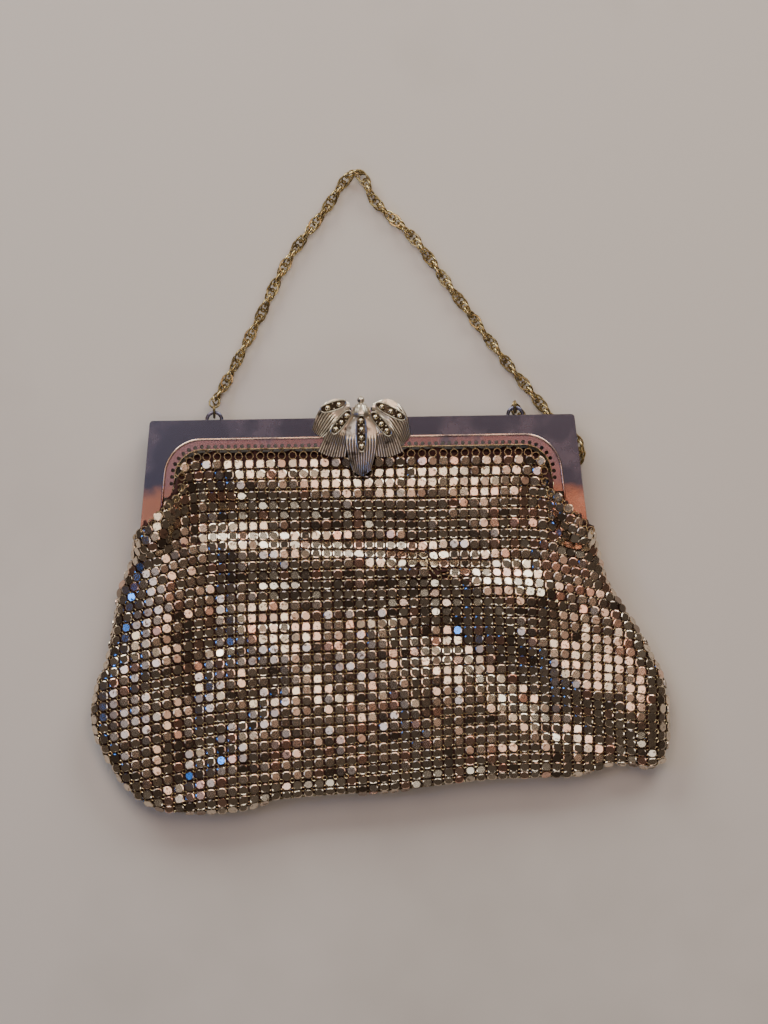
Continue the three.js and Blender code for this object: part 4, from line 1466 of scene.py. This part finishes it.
class Bag:
    """The soft bag: a lining and a mesh of small metal plates joined by rings."""

    def __init__(self, sizes: BagSizes, mouth: FrameSizes) -> None:
        """Draws the bag's edges.

        Args:
            sizes: Sizes of the bag.
            mouth: Sizes of the frame it hangs from.
        """
        self.sizes = sizes
        self.mouth = mouth
        scale = np.array([sizes.half, -sizes.drop])
        sides = np.array(SIDE_EDGES)
        self.left = smooth_line(sides[:, :2] * scale * [-1, 1], 120)
        self.right = smooth_line(sides[:, 2:] * scale, 120)
        self.lower = smooth_line(np.array(BOTTOM_EDGE) * scale, 160)
        inset = mouth.band + mouth.flange + mouth.gap
        foot = mouth.flange_foot + 2 * mouth.gap
        self.rim = mouth.line(inset, mouth.inner_corner - mouth.flange - mouth.gap, foot)
        self.top = even_line(np.vstack([self.left[0], self.rim, self.right[0]]), 160)
        self.ring = np.vstack([self.top, self.right, self.lower[::-1], self.left[::-1]])
        self.random = np.random.default_rng(7)

    def edge_distance(self, spots: np.ndarray) -> np.ndarray:
        """Measures how far spots are from the side and bottom edges.

        Args:
            spots: Places in the plane, one a row.

        Returns:
            The distance of each spot, negative outside.
        """
        away = np.min([distance_to(spots, line[::3]) for line in (self.left, self.lower, self.right)], axis=0)
        return np.where(inside(spots, self.ring[::2]), away, -away)

    def folds(self, spots: np.ndarray) -> np.ndarray:
        """Adds up the rise of the folds.

        Args:
            spots: Places in the plane, one a row.

        Returns:
            The rise at each spot.
        """
        s = self.sizes
        scale = np.array([s.half, -s.drop])
        total = np.zeros(len(spots))
        for fold in FOLDS:
            start, end = np.array([fold.x1, fold.y1]) * scale, np.array([fold.x2, fold.y2]) * scale
            run = end - start
            share = np.clip(((spots - start) @ run) / (run @ run), 0, 1)
            away = spots - start - share[:, None] * run
            above = run[0] * away[:, 1] - run[1] * away[:, 0] > 0
            width = np.where(above, fold.above, fold.below) * s.drop
            total += fold.rise * s.depth * np.exp(-(away**2).sum(1) / width**2)
        return total

    def over_arms(self, spots: np.ndarray) -> np.ndarray:
        """Weighs how far the bag is lifted over the side arms.

        Args:
            spots: Places in the plane, one a row.

        Returns:
            1 over an arm, 0 away from it.
        """
        m = self.mouth
        hinge = m.width / 2 + m.hinge_drop * math.tan(m.flare)
        start = [m.side(m.band, -m.flange_foot), -m.flange_foot]
        arm = np.array([start, [hinge - m.band / 2, -m.hinge_drop]])
        near = distance_to(np.abs(spots) * [1, -1], arm)
        return np.exp(-((near / m.band) ** 4))

    def heights(self, spots: np.ndarray) -> tuple[np.ndarray, np.ndarray]:
        """Gives the heights of the front and of the back.

        Args:
            spots: Places in the plane, one a row.

        Returns:
            Front heights and back heights.
        """
        s, m = self.sizes, self.mouth
        front, back = self.sheets(spots)
        down = -spots[:, 1] - m.hinge_drop
        edge = lerp(m.middle, s.edge_height, smooth(down / 14))
        near = 1 - np.clip(self.edge_distance(spots) / self.bend(spots), 0, 1)
        roll = np.sqrt(1 - near**2)
        return lerp(edge, front, roll), lerp(edge, back, roll)

    def sheets(self, spots: np.ndarray) -> tuple[np.ndarray, np.ndarray]:
        """Gives the heights of the front and of the back as if they didn't meet at the edge.

        Args:
            spots: Places in the plane, one a row.

        Returns:
            Front heights and back heights.
        """
        s, m = self.sizes, self.mouth
        lifted = self.over_arms(spots)
        rise = m.lift + m.depth + s.wall + s.over_arm - s.depth
        front_open = s.depth + self.folds(spots) + rise * lifted
        away = distance_to(spots, self.rim)
        front = lerp(m.middle + m.flange_top + m.gap, front_open, np.maximum(smooth(away / 10), lifted))
        back = lerp(m.middle - m.flange_top - m.gap, 0.0, np.maximum(smooth(away / 16), lifted))
        return front, back

    def bend(self, spots: np.ndarray) -> np.ndarray:
        """Gives the width of the rounding of the edge.

        Args:
            spots: Places in the plane, one a row.

        Returns:
            The width at each spot.
        """
        s = self.sizes
        return lerp(s.hinge_round, s.edge_round, smooth((-spots[:, 1] - self.mouth.hinge_drop) / 18))

    def rolled(self, spots: np.ndarray) -> tuple[np.ndarray, np.ndarray]:
        """Moves spots of the flat net near the edge to where the rounding of the edge carries them.

        Args:
            spots: Places in the plane, one a row.

        Returns:
            The new places, and which spots lie on the bag.
        """
        bend = self.bend(spots)
        rise = np.minimum(bend, self.sizes.edge_height * 0.85)
        turn = np.linspace(0, math.pi / 2, 40)
        inner = 1 - np.cos(turn)
        away = self.edge_distance(spots)
        ways = 0.1 * np.eye(2)
        step = np.stack([self.edge_distance(spots + way) - away for way in ways], axis=1)
        step /= np.maximum(np.linalg.norm(step, axis=1, keepdims=True), 1e-9)
        length = np.stack([bend, rise], axis=1)
        moved = away.copy()
        kept = np.ones(len(spots), bool)
        for k in np.flatnonzero(away < bend):
            arc = np.stack([inner * length[k, 0], np.sin(turn) * length[k, 1]], axis=1)
            run = np.concatenate([[0], np.cumsum(np.linalg.norm(np.diff(arc, axis=0), axis=1))])
            extra = run[-1] - length[k, 0]
            kept[k] = away[k] + extra > 0.5
            moved[k] = np.interp(away[k] + extra, run, arc[:, 0])
        return spots + (np.maximum(moved, 0.12) - away)[:, None] * step, kept

    def patch(self, shares: np.ndarray, rows: np.ndarray, top: np.ndarray) -> np.ndarray:
        """Spreads a net of points between the four edges.

        Args:
            shares: Share across of each column.
            rows: Share down of each row, a column of them for each column.
            top: First point of each column.

        Returns:
            Points by row and column.
        """
        along = np.linspace(0, 1, len(self.left))
        below = np.linspace(0, 1, len(self.lower))
        lower = np.stack([np.interp(shares, below, self.lower[:, k]) for k in (0, 1)], axis=-1)
        v = rows[..., None]
        u = shares[None, :, None]
        left = np.stack([np.interp(rows, along, self.left[:, k]) for k in (0, 1)], axis=-1)
        right = np.stack([np.interp(rows, along, self.right[:, k]) for k in (0, 1)], axis=-1)
        corners = (1 - u) * ((1 - v) * self.left[0] + v * self.lower[0])
        corners = corners + u * ((1 - v) * self.right[0] + v * self.lower[-1])
        return (1 - v) * top[None] + v * lower[None] + (1 - u) * left + u * right - corners

    def lattice(self) -> np.ndarray:
        """Lays the net of plates on the front and lets it settle to its real spacing.

        Returns:
            Places in the plane by row and column.
        """
        s = self.sizes
        offset = (np.arange(s.columns) - (s.columns - 1) / 2) * s.pitch_across
        line = np.vstack([self.left[:0:-1], self.top, self.right[1:]])
        steps = np.concatenate([[0], np.cumsum(np.linalg.norm(np.diff(line, axis=0), axis=1))])
        middle = length_of(self.left) + length_of(self.top) / 2
        start = np.stack([np.interp(middle + offset, steps, line[:, k]) for k in (0, 1)], axis=1)
        row = np.arange(s.rows)[:, None]
        level = self.rim[:, 1].max()
        drop = np.maximum(level - start[:, 1], 0)
        x = lerp(start[:, 0], offset, smooth(row / s.fan_rows))
        y = level - s.first_row - s.ring_row - s.pitch_down * 0.97 * row
        y = y - s.slope_share * drop * (1 - s.slope_loss * smooth(row / s.slope_rows))
        y = y + s.lean * x * smooth((row - 14) / 18)
        net = np.dstack([x, y])
        pinned = np.zeros(net.shape[:2], bool)
        pinned[0] = drop < 1
        for _ in range(s.settling):
            flat = net.reshape(-1, 2)
            front = self.sheets(flat)[0].reshape(net.shape[:2])
            solid = np.dstack([net, front])
            move = np.zeros_like(net)
            for axis, pitch in ((1, s.pitch_across), (0, s.pitch_down)):
                d = np.diff(solid, axis=axis)
                size = np.linalg.norm(d, axis=2)
                pull = (0.5 * (size - pitch) / size)[..., None] * d[..., :2]
                if axis == 1:
                    move[:, :-1] += pull
                    move[:, 1:] -= pull
                else:
                    move[:-1] += pull
                    move[1:] -= pull
            inner = net[1:-1, 1:-1]
            around = (net[:-2, 1:-1] + net[2:, 1:-1] + net[1:-1, :-2] + net[1:-1, 2:]) / 4
            move[1:-1, 1:-1] += 0.35 * (around - inner)
            net = net + 0.5 * np.where(pinned[..., None], 0, np.clip(move, -1, 1))
        return net

    def placed(self, net: np.ndarray, side: Side) -> tuple[np.ndarray, np.ndarray, np.ndarray]:
        """Puts the net on one side of the bag.

        Args:
            net: Places in the plane by row and column.
            side: Side of the bag.

        Returns:
            Middles, turning matrices and which of them are kept.
        """
        flat, kept = self.rolled(net.reshape(-1, 2))
        which = 0 if side is Side.FRONT else 1
        high = self.heights(flat)[which] + (0 if side is Side.FRONT else self.sizes.plate_sheet * 0.6)
        gap = 0.2
        slopes = [
            (self.heights(flat + way)[which] - self.heights(flat - way)[which]) / (2 * gap)
            for way in (np.array([gap, 0]), np.array([0, gap]))
        ]
        normal = np.stack([-slopes[0], -slopes[1], np.ones(len(flat))], axis=1)
        normal /= np.linalg.norm(normal, axis=1, keepdims=True)
        solid = np.column_stack([flat, high])
        across = np.gradient(solid.reshape(*net.shape[:2], 3), axis=1).reshape(-1, 3)
        across -= (across * normal).sum(1, keepdims=True) * normal
        across /= np.linalg.norm(across, axis=1, keepdims=True)
        normal *= side.value
        turns = np.stack([across, np.cross(normal, across), normal], axis=-1)
        return solid, turns, kept & (distance_to(flat, self.top) > 1.5)

    def leaned(self, middles: np.ndarray) -> np.ndarray:
        """Adds up how the plates of the front lean.

        Args:
            middles: Middles of the plates.

        Returns:
            Angles in radians, positive for plates that face up.
        """
        return sum(np.radians(lean.turn) * lean.weight(middles[:, :2]) for lean in LEANS)

    def tilts(self, size: tuple[int, int], leaned: np.ndarray | int) -> np.ndarray:
        """Draws a small tilt for each plate: its own, and one that it shares with its neighbours.

        Args:
            size: Number of rows and columns.
            leaned: Angle that each plate leans up.

        Returns:
            Turning matrices.
        """
        count = size[0] * size[1]
        a, b, c = np.radians(self.random.normal(0, self.sizes.tilt, (3, count)))
        rough = self.random.normal(0, 1, (2, size[0] + 2, size[1] + 6))
        shared = sum(rough[:, i : i + size[0], k : k + size[1]] for i in range(3) for k in range(7))
        shared = shared / math.sqrt(3 * 7)
        a = a + np.radians(self.sizes.shared_tilt) * shared[0].ravel() + leaned
        b = b + np.radians(self.sizes.shared_tilt) * shared[1].ravel()
        made = np.tile(np.eye(3), (count, 1, 1))
        made[:, 0, 1], made[:, 1, 0] = -c * 0.6, c * 0.6
        made[:, 0, 2], made[:, 2, 0] = b, -b
        made[:, 1, 2], made[:, 2, 1] = -a, a
        return made

    def hoops(self, side: Side) -> tuple[np.ndarray, np.ndarray]:
        """Places the first row of rings along the mouth.

        Args:
            side: Side of the bag.

        Returns:
            Middles and turning matrices.
        """
        s = self.sizes
        path = even_line(self.top, round(length_of(self.top) / s.pitch_across) + 1)
        along = np.gradient(path, axis=0)
        along /= np.linalg.norm(along, axis=1, keepdims=True)
        down = np.column_stack([along[:, 1], -along[:, 0]])
        spots = path + s.first_row * down
        front, back = self.heights(spots)
        middles = np.column_stack([spots, front if side is Side.FRONT else back])
        flat = np.zeros(len(path))
        across = np.column_stack([along, flat])
        normal = np.tile([0.0, 0.0, float(side.value)], (len(path), 1))
        return middles, np.stack([across, np.cross(normal, across), normal], axis=-1)

    def plate(self) -> Shape:
        """Makes one plate: a rounded square with a bevelled face.

        Returns:
            The plate, its face up.
        """
        s = self.sizes
        bpy.ops.mesh.primitive_cylinder_add(
            vertices=16, radius=s.plate / 2, depth=s.plate_sheet, location=(0, 0, 0)
        )
        made = bpy.context.object
        edit(made, "DESELECT")
        bpy.ops.object.mode_set(mode="OBJECT")
        for face in made.data.polygons:
            face.select = face.normal.z > 0.9
        bpy.ops.object.mode_set(mode="EDIT")
        bpy.ops.mesh.inset(thickness=s.rim_width, depth=s.rim_width * math.tan(math.radians(s.rim_slope)))
        leave()
        shape = taken(made)
        flat = shape.vertices[:, :2]
        radius = np.maximum(np.linalg.norm(flat, axis=1, keepdims=True), 1e-9)
        grow = 1 / (np.abs(flat / radius) ** s.squareness).sum(1) ** (1 / s.squareness)
        shape.vertices[:, :2] *= grow[:, None]
        shape.vertices[:, 2] -= s.plate_sheet / 2
        return shape

    def tints(self, middles: np.ndarray) -> np.ndarray:
        """Gives each plate its own tone.

        Args:
            middles: Middles of the plates.

        Returns:
            One colour a row.
        """
        cream, pale, copper_wear_and_reflection, dull = (np.array(linear(code)) for code in PLATE_TONES)
        many = len(middles)
        pickup = self.random.random(many)
        shares = self.random.random(many)[:, None]
        wave = np.sin(middles[:, 0] / 11 + 1) * np.sin(middles[:, 1] / 9 + middles[:, 0] / 31)
        made = lerp(cream, pale, shares)
        # Coppery plates: a usual share as wear, and more in the lean stretches as a painted salmon reflection
        share = 0.1 + 0.08 * wave + sum(lean.copper_wear_and_reflection * lean.weight(middles[:, :2]) for lean in LEANS)
        made = np.where((pickup < share)[:, None], lerp(copper_wear_and_reflection, cream, shares * 0.5), made)
        return np.where((pickup > 0.86)[:, None], lerp(dull, pale, shares * 0.4), made)

    def lining(self) -> Shape:
        """Makes the lining just under the plates.

        Returns:
            A closed sheet with front and back.
        """
        s = self.sizes
        columns, rows = 121, 71
        shares = np.linspace(0, 1, columns)
        down = np.repeat(np.linspace(0, 1, rows)[:, None], columns, 1)
        flat = self.patch(shares, down, even_line(self.top, columns))
        front, back = self.heights(flat.reshape(-1, 2))
        sheets = []
        for high, way in ((front, 1), (back, -1)):
            solid = np.dstack([flat, high.reshape(rows, columns)])
            steps_down, across = np.gradient(solid, axis=0), np.gradient(solid, axis=1)
            normal = np.cross(across, -steps_down) * way
            normal /= np.linalg.norm(normal, axis=2, keepdims=True)
            sheets.append((solid, normal))
        edge = np.zeros((rows, columns), bool)
        edge[-1], edge[:, 0], edge[:, -1] = True, True, True
        shared = sheets[0][1] + sheets[1][1]
        shared /= np.maximum(np.linalg.norm(shared, axis=2, keepdims=True), 1e-9)
        made = []
        for (solid, normal), turned in zip(sheets, (False, True)):
            inward = np.where(edge[..., None], shared, normal)
            points = (solid - inward * (s.plate_sheet + s.lining_gap)).reshape(-1, 3)
            made.append(from_quads(points, grid_faces(rows, columns, turned)))
        return joined(made)

    def lacing(self, hoops: np.ndarray, side: Side) -> list[Shape]:
        """Makes the wire along the flange and the hooks that hang the first rings on it.

        Args:
            hoops: Middles of the first rings.
            side: Side of the bag.

        Returns:
            The wire and its hooks.
        """
        s, m = self.sizes, self.mouth
        high = m.middle + side.value * (m.flange_top + s.lacing_rise)
        inset = m.band + m.flange - s.lacing_inset
        path = m.line(inset, m.inner_corner - m.flange + s.lacing_inset, m.flange_foot - 0.5)
        dense = even_line(path, 240)
        made = [tube_shape(np.column_stack([dense, np.full(len(dense), high)]), s.lacing_wire, 6)]
        for hoop in hoops:
            away = np.linalg.norm(dense - hoop[:2], axis=1)
            nearest = int(away.argmin())
            if away[nearest] > s.hook_reach:
                continue
            foot = np.array([*dense[nearest], high])
            run = hoop - foot
            run /= np.linalg.norm(run)
            across = np.array([-run[1], run[0], 0]) * s.hook_half
            for way in (1, -1):
                bend = [foot - run * 0.4, foot + way * across * 0.6, foot + way * across + run * 0.4]
                bend.append(hoop - run * s.hoop)
                made.append(tube_shape(smooth_line(np.array(bend), 7), s.hook_wire, 5))
        return made

    def pieces(self) -> list[Piece]:
        """Makes the lining, the plates and the rings.

        Returns:
            The pieces of the bag.
        """
        s = self.sizes
        net = self.lattice()
        plate = self.plate()
        bpy.ops.mesh.primitive_torus_add(
            major_segments=8, minor_segments=4, major_radius=s.ring, minor_radius=s.ring_wire,
            location=(0, 0, 0),
        )
        ring = taken(bpy.context.object)
        bpy.ops.mesh.primitive_torus_add(
            major_segments=20, minor_segments=6, major_radius=s.hoop, minor_radius=s.hoop_wire,
            location=(0, 0, 0),
        )
        hoop = taken(bpy.context.object)
        made = [Piece("bag_lining", self.lining(), LINING_CLOTH, Body.PURSE, None, ("mesh_bag",), 60)]
        for side in Side:
            middles, turns, keep = self.placed(net, side)
            leaned = self.leaned(middles) if side is Side.FRONT else 0
            turned = np.einsum("nij,njk->nik", turns, self.tilts(net.shape[:2], leaned))
            plates = plate.stamped(turned[keep], middles[keep])
            tint = np.repeat(self.tints(middles[keep]), len(plate.vertices), axis=0)
            name = side.name.lower()
            made.append(Piece(f"plates_{name}", plates, PLATE_METAL, Body.PURSE, Slot.PLATE, (), 12, tint))
            between = (net[1:, 1:] + net[:-1, 1:] + net[1:, :-1] + net[:-1, :-1]) / 4
            spots, ways, kept = self.placed(between, side)
            rings = ring.stamped(ways[kept], spots[kept] - s.ring_depth * ways[kept][:, :, 2])
            places, faces = self.hoops(side)
            rings = joined([rings, hoop.stamped(faces, places), *self.lacing(places, side)])
            made.append(Piece(f"rings_{name}", rings, RING_METAL, Body.PURSE, None, (), 60))
        return made


# Chain handle


@dataclass
class ChainSizes:
    """Sizes of the rope chain in millimetres."""

    wire: float = 0.72
    long: float = 5.9
    wide: float = 4.4
    pitch: float = 2.05
    turn: float = 39.0
    lie: float = 2.05


CHAIN_ROUTE = (
    (-53.9, 6.4, 3.2), (-52.2, 9.6, 0.3), (-50.2, 12.8, 0), (-47.3, 18, 0), (-43.8, 24.6, 0), (-40, 31.5, 0),
    (-35.5, 40.2, 0), (-31.6, 48.2, 0), (-27.4, 56, 0), (-22.9, 62.9, 0), (-17.6, 69.6, 0), (-12.6, 75.9, 0),
    (-8.2, 82.2, 0), (-4.4, 87.4, 0), (-0.8, 90.0, 0), (2.2, 87.2, 0), (5.2, 80.4, 0), (10.5, 74.6, 0),
    (15.6, 70, 0), (20.4, 64.9, 0), (24.6, 59.4, 0), (28.4, 54, 0), (32.1, 48.5, 0), (36, 43.1, 0),
    (40.2, 37.4, 0), (44.2, 31.6, 0), (48.3, 25.9, 0), (52.4, 20.4, 0), (56.8, 14.9, 0), (61.2, 9.4, 0),
    (65.4, 4, 0), (69.6, -1.2, 0), (74.6, -6.2, 0), (79, -10.6, 0), (80.2, -15.2, 0), (76.6, -18, 0),
    (72.2, -15.6, 0), (69, -11.2, 0), (65, -6.8, 0), (61, -3, 0), (58, -0.2, 0), (56.3, 2.2, 0.5), (56, 3, 2),
)


class RopeChain:
    """The rope chain handle."""

    def __init__(self, sizes: ChainSizes) -> None:
        """Keeps the sizes.

        Args:
            sizes: Sizes of the chain.
        """
        self.sizes = sizes

    def link(self) -> Shape:
        """Makes one oval link, long along X.

        Returns:
            The link.
        """
        s = self.sizes
        bpy.ops.mesh.primitive_torus_add(
            major_segments=14, minor_segments=6, major_radius=1.0, minor_radius=s.wire / 2, location=(0, 0, 0)
        )
        shape = taken(bpy.context.object)
        flat = shape.vertices[:, :2]
        radius = np.linalg.norm(flat, axis=1, keepdims=True)
        half = np.array([(s.long - s.wire) / 2, (s.wide - s.wire) / 2])
        shape.vertices[:, :2] = flat / radius * half + flat / radius * (radius - 1)
        return shape

    def pieces(self) -> list[Piece]:
        """Lays the links along the route.

        Returns:
            The chain.
        """
        s = self.sizes
        route = smooth_line(np.array(CHAIN_ROUTE), 700) + [0, 0, s.lie]
        places = even_line(route, round(length_of(route) / s.pitch))
        ahead = np.gradient(places, axis=0)
        ahead /= np.linalg.norm(ahead, axis=1, keepdims=True)
        side = np.cross([0, 0, 1.0], ahead)
        side /= np.linalg.norm(side, axis=1, keepdims=True)
        upward = np.cross(ahead, side)
        random = np.random.default_rng(11)
        angle = np.radians(s.turn * np.arange(len(places)) + random.normal(0, 6, len(places)))[:, None]
        flat = np.cos(angle) * side + np.sin(angle) * upward
        turns = np.stack([ahead, flat, np.cross(ahead, flat)], axis=-1)
        links = self.link().stamped(turns, places)
        return [Piece("chain_links", links, LINK_METAL, Body.PURSE, Slot.CHAIN, ("chain",), 60)]


# Stage


@dataclass
class StageSizes:
    """Camera and floor, in millimetres and degrees."""

    eye_x: float = 7.46
    eye_y: float = -34.62
    eye_height: float = 3012.0
    subject: float = 12.0
    long_side: float = 373.8
    roll: float = -0.946
    floor: float = 6000.0


@dataclass(frozen=True)
class Lamp:
    """A flat studio lamp, in millimetres.

    Attributes:
        place: Its place, across, up from the origin and above the floor.
        size: Its width and its length.
        glow: How bright its face is.
        colour: Colour of its light.
        aimed: True to turn it to the purse, otherwise it shines straight down.
    """

    place: tuple[float, float, float]
    size: tuple[float, float]
    glow: float
    colour: str
    aimed: bool = False

    def build(self) -> None:
        """Hangs the lamp."""
        spot = Vector(self.place) * MM
        turn = (-spot).to_track_quat("-Z", "Y").to_euler() if self.aimed else (0, 0, 0)
        bpy.ops.object.light_add(type="AREA", location=spot + Vector((0, 50 * MM, 0)), rotation=turn)
        light = bpy.context.object.data
        light.shape = "RECTANGLE"
        light.size, light.size_y = self.size[0] * MM, self.size[1] * MM
        light.energy = self.glow * math.pi * light.size * light.size_y
        light.color = linear(self.colour)[:3]


CREAM_LIGHT = "#fff0dc"
SALMON_LIGHT = "#ffa88c"
SOFT_LIGHT = "#fffaf2"
LAMPS = (
    Lamp((-190, 415, 900), (90, 620), 2.6, CREAM_LIGHT),
    Lamp((-95, 415, 900), (90, 620), 3.0, CREAM_LIGHT),
    Lamp((-20, 415, 900), (50, 620), 3.0, SALMON_LIGHT),
    Lamp((55, 415, 900), (90, 620), 3.2, CREAM_LIGHT),
    Lamp((130, 415, 900), (50, 620), 3.0, SALMON_LIGHT),
    Lamp((205, 415, 900), (90, 620), 2.6, CREAM_LIGHT),
    Lamp((-275, -60, 900), (240, 240), 1.8, "#f4eeff"),
    Lamp((275, -60, 900), (240, 240), 2.2, "#ffd2bc"),
    Lamp((-1060, 20, 880), (130, 200), 10.0, "#2f84ff", True),
    Lamp((-700, 1250, 700), (900, 700), 6.0, SOFT_LIGHT, True),
    Lamp((700, 1250, 700), (900, 700), 5.0, SOFT_LIGHT, True),
    Lamp((0, -1150, 850), (1000, 200), 3.0, SOFT_LIGHT, True),
)


def build_stage(sizes: StageSizes) -> None:
    """Makes the floor, the camera and the lights.

    Args:
        sizes: Sizes of the stage.
    """
    bpy.ops.mesh.primitive_plane_add(size=sizes.floor * MM, location=(0, 0, -0.00005))
    floor = bpy.context.object
    floor.name = "floor"
    matt = Finish("matt pale paper", "#e6e2dc", "#dad6d0", 0.9, 0.92, spot=300, amount=0.3, metallic=0.0)
    floor.data.materials.append(matt.material())
    bpy.ops.object.camera_add(
        location=(sizes.eye_x * MM, (FRAME_TOP + sizes.eye_y) * MM, sizes.eye_height * MM),
        rotation=(0, 0, math.radians(sizes.roll)),
    )
    camera = bpy.context.object
    camera.data.sensor_width = 36
    camera.data.lens = 36 * (sizes.eye_height - sizes.subject) / sizes.long_side
    camera.data.clip_start, camera.data.clip_end = 0.01, 20
    bpy.context.scene.camera = camera
    for lamp in LAMPS:
        lamp.build()
    world = bpy.data.worlds.new("dim studio")
    bpy.context.scene.world = world
    world.use_nodes = True
    back = world.node_tree.nodes["Background"]
    back.inputs["Color"].default_value = linear("#c0ac9c")
    back.inputs["Strength"].default_value = 0.15


def dress_frame(materials: dict[str, bpy.types.Material]) -> None:
    """Gives the CAD pieces that stay shown their finishes.

    Args:
        materials: Materials made so far, by finish name.
    """
    finishes = {"clasp_pin": PIN_METAL, "hinge_pin": PIN_METAL, "jump_ring": LINK_METAL}
    for name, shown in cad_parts.items():
        finish = next((made for start, made in finishes.items() if name.startswith(start)), None)
        if finish is None:
            continue
        if finish.name not in materials:
            materials[finish.name] = finish.material()
        shown.data.materials.clear()
        shown.data.materials.append(materials[finish.name])


def main() -> None:
    """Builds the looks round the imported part."""
    logging.basicConfig(level=logging.INFO, format="%(name)s %(message)s")
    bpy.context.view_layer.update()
    mouth = FrameSizes()
    materials: dict[str, bpy.types.Material] = {}
    clasp = PetalClasp(ClaspSizes(), mouth)
    for part in (MouthFrame(mouth), Bag(BagSizes(), mouth), clasp, RopeChain(ChainSizes())):
        for piece in part.pieces():
            piece.build(materials)
    dress_frame(materials)
    build_stage(StageSizes())


if __name__ == "__main__":
    main()
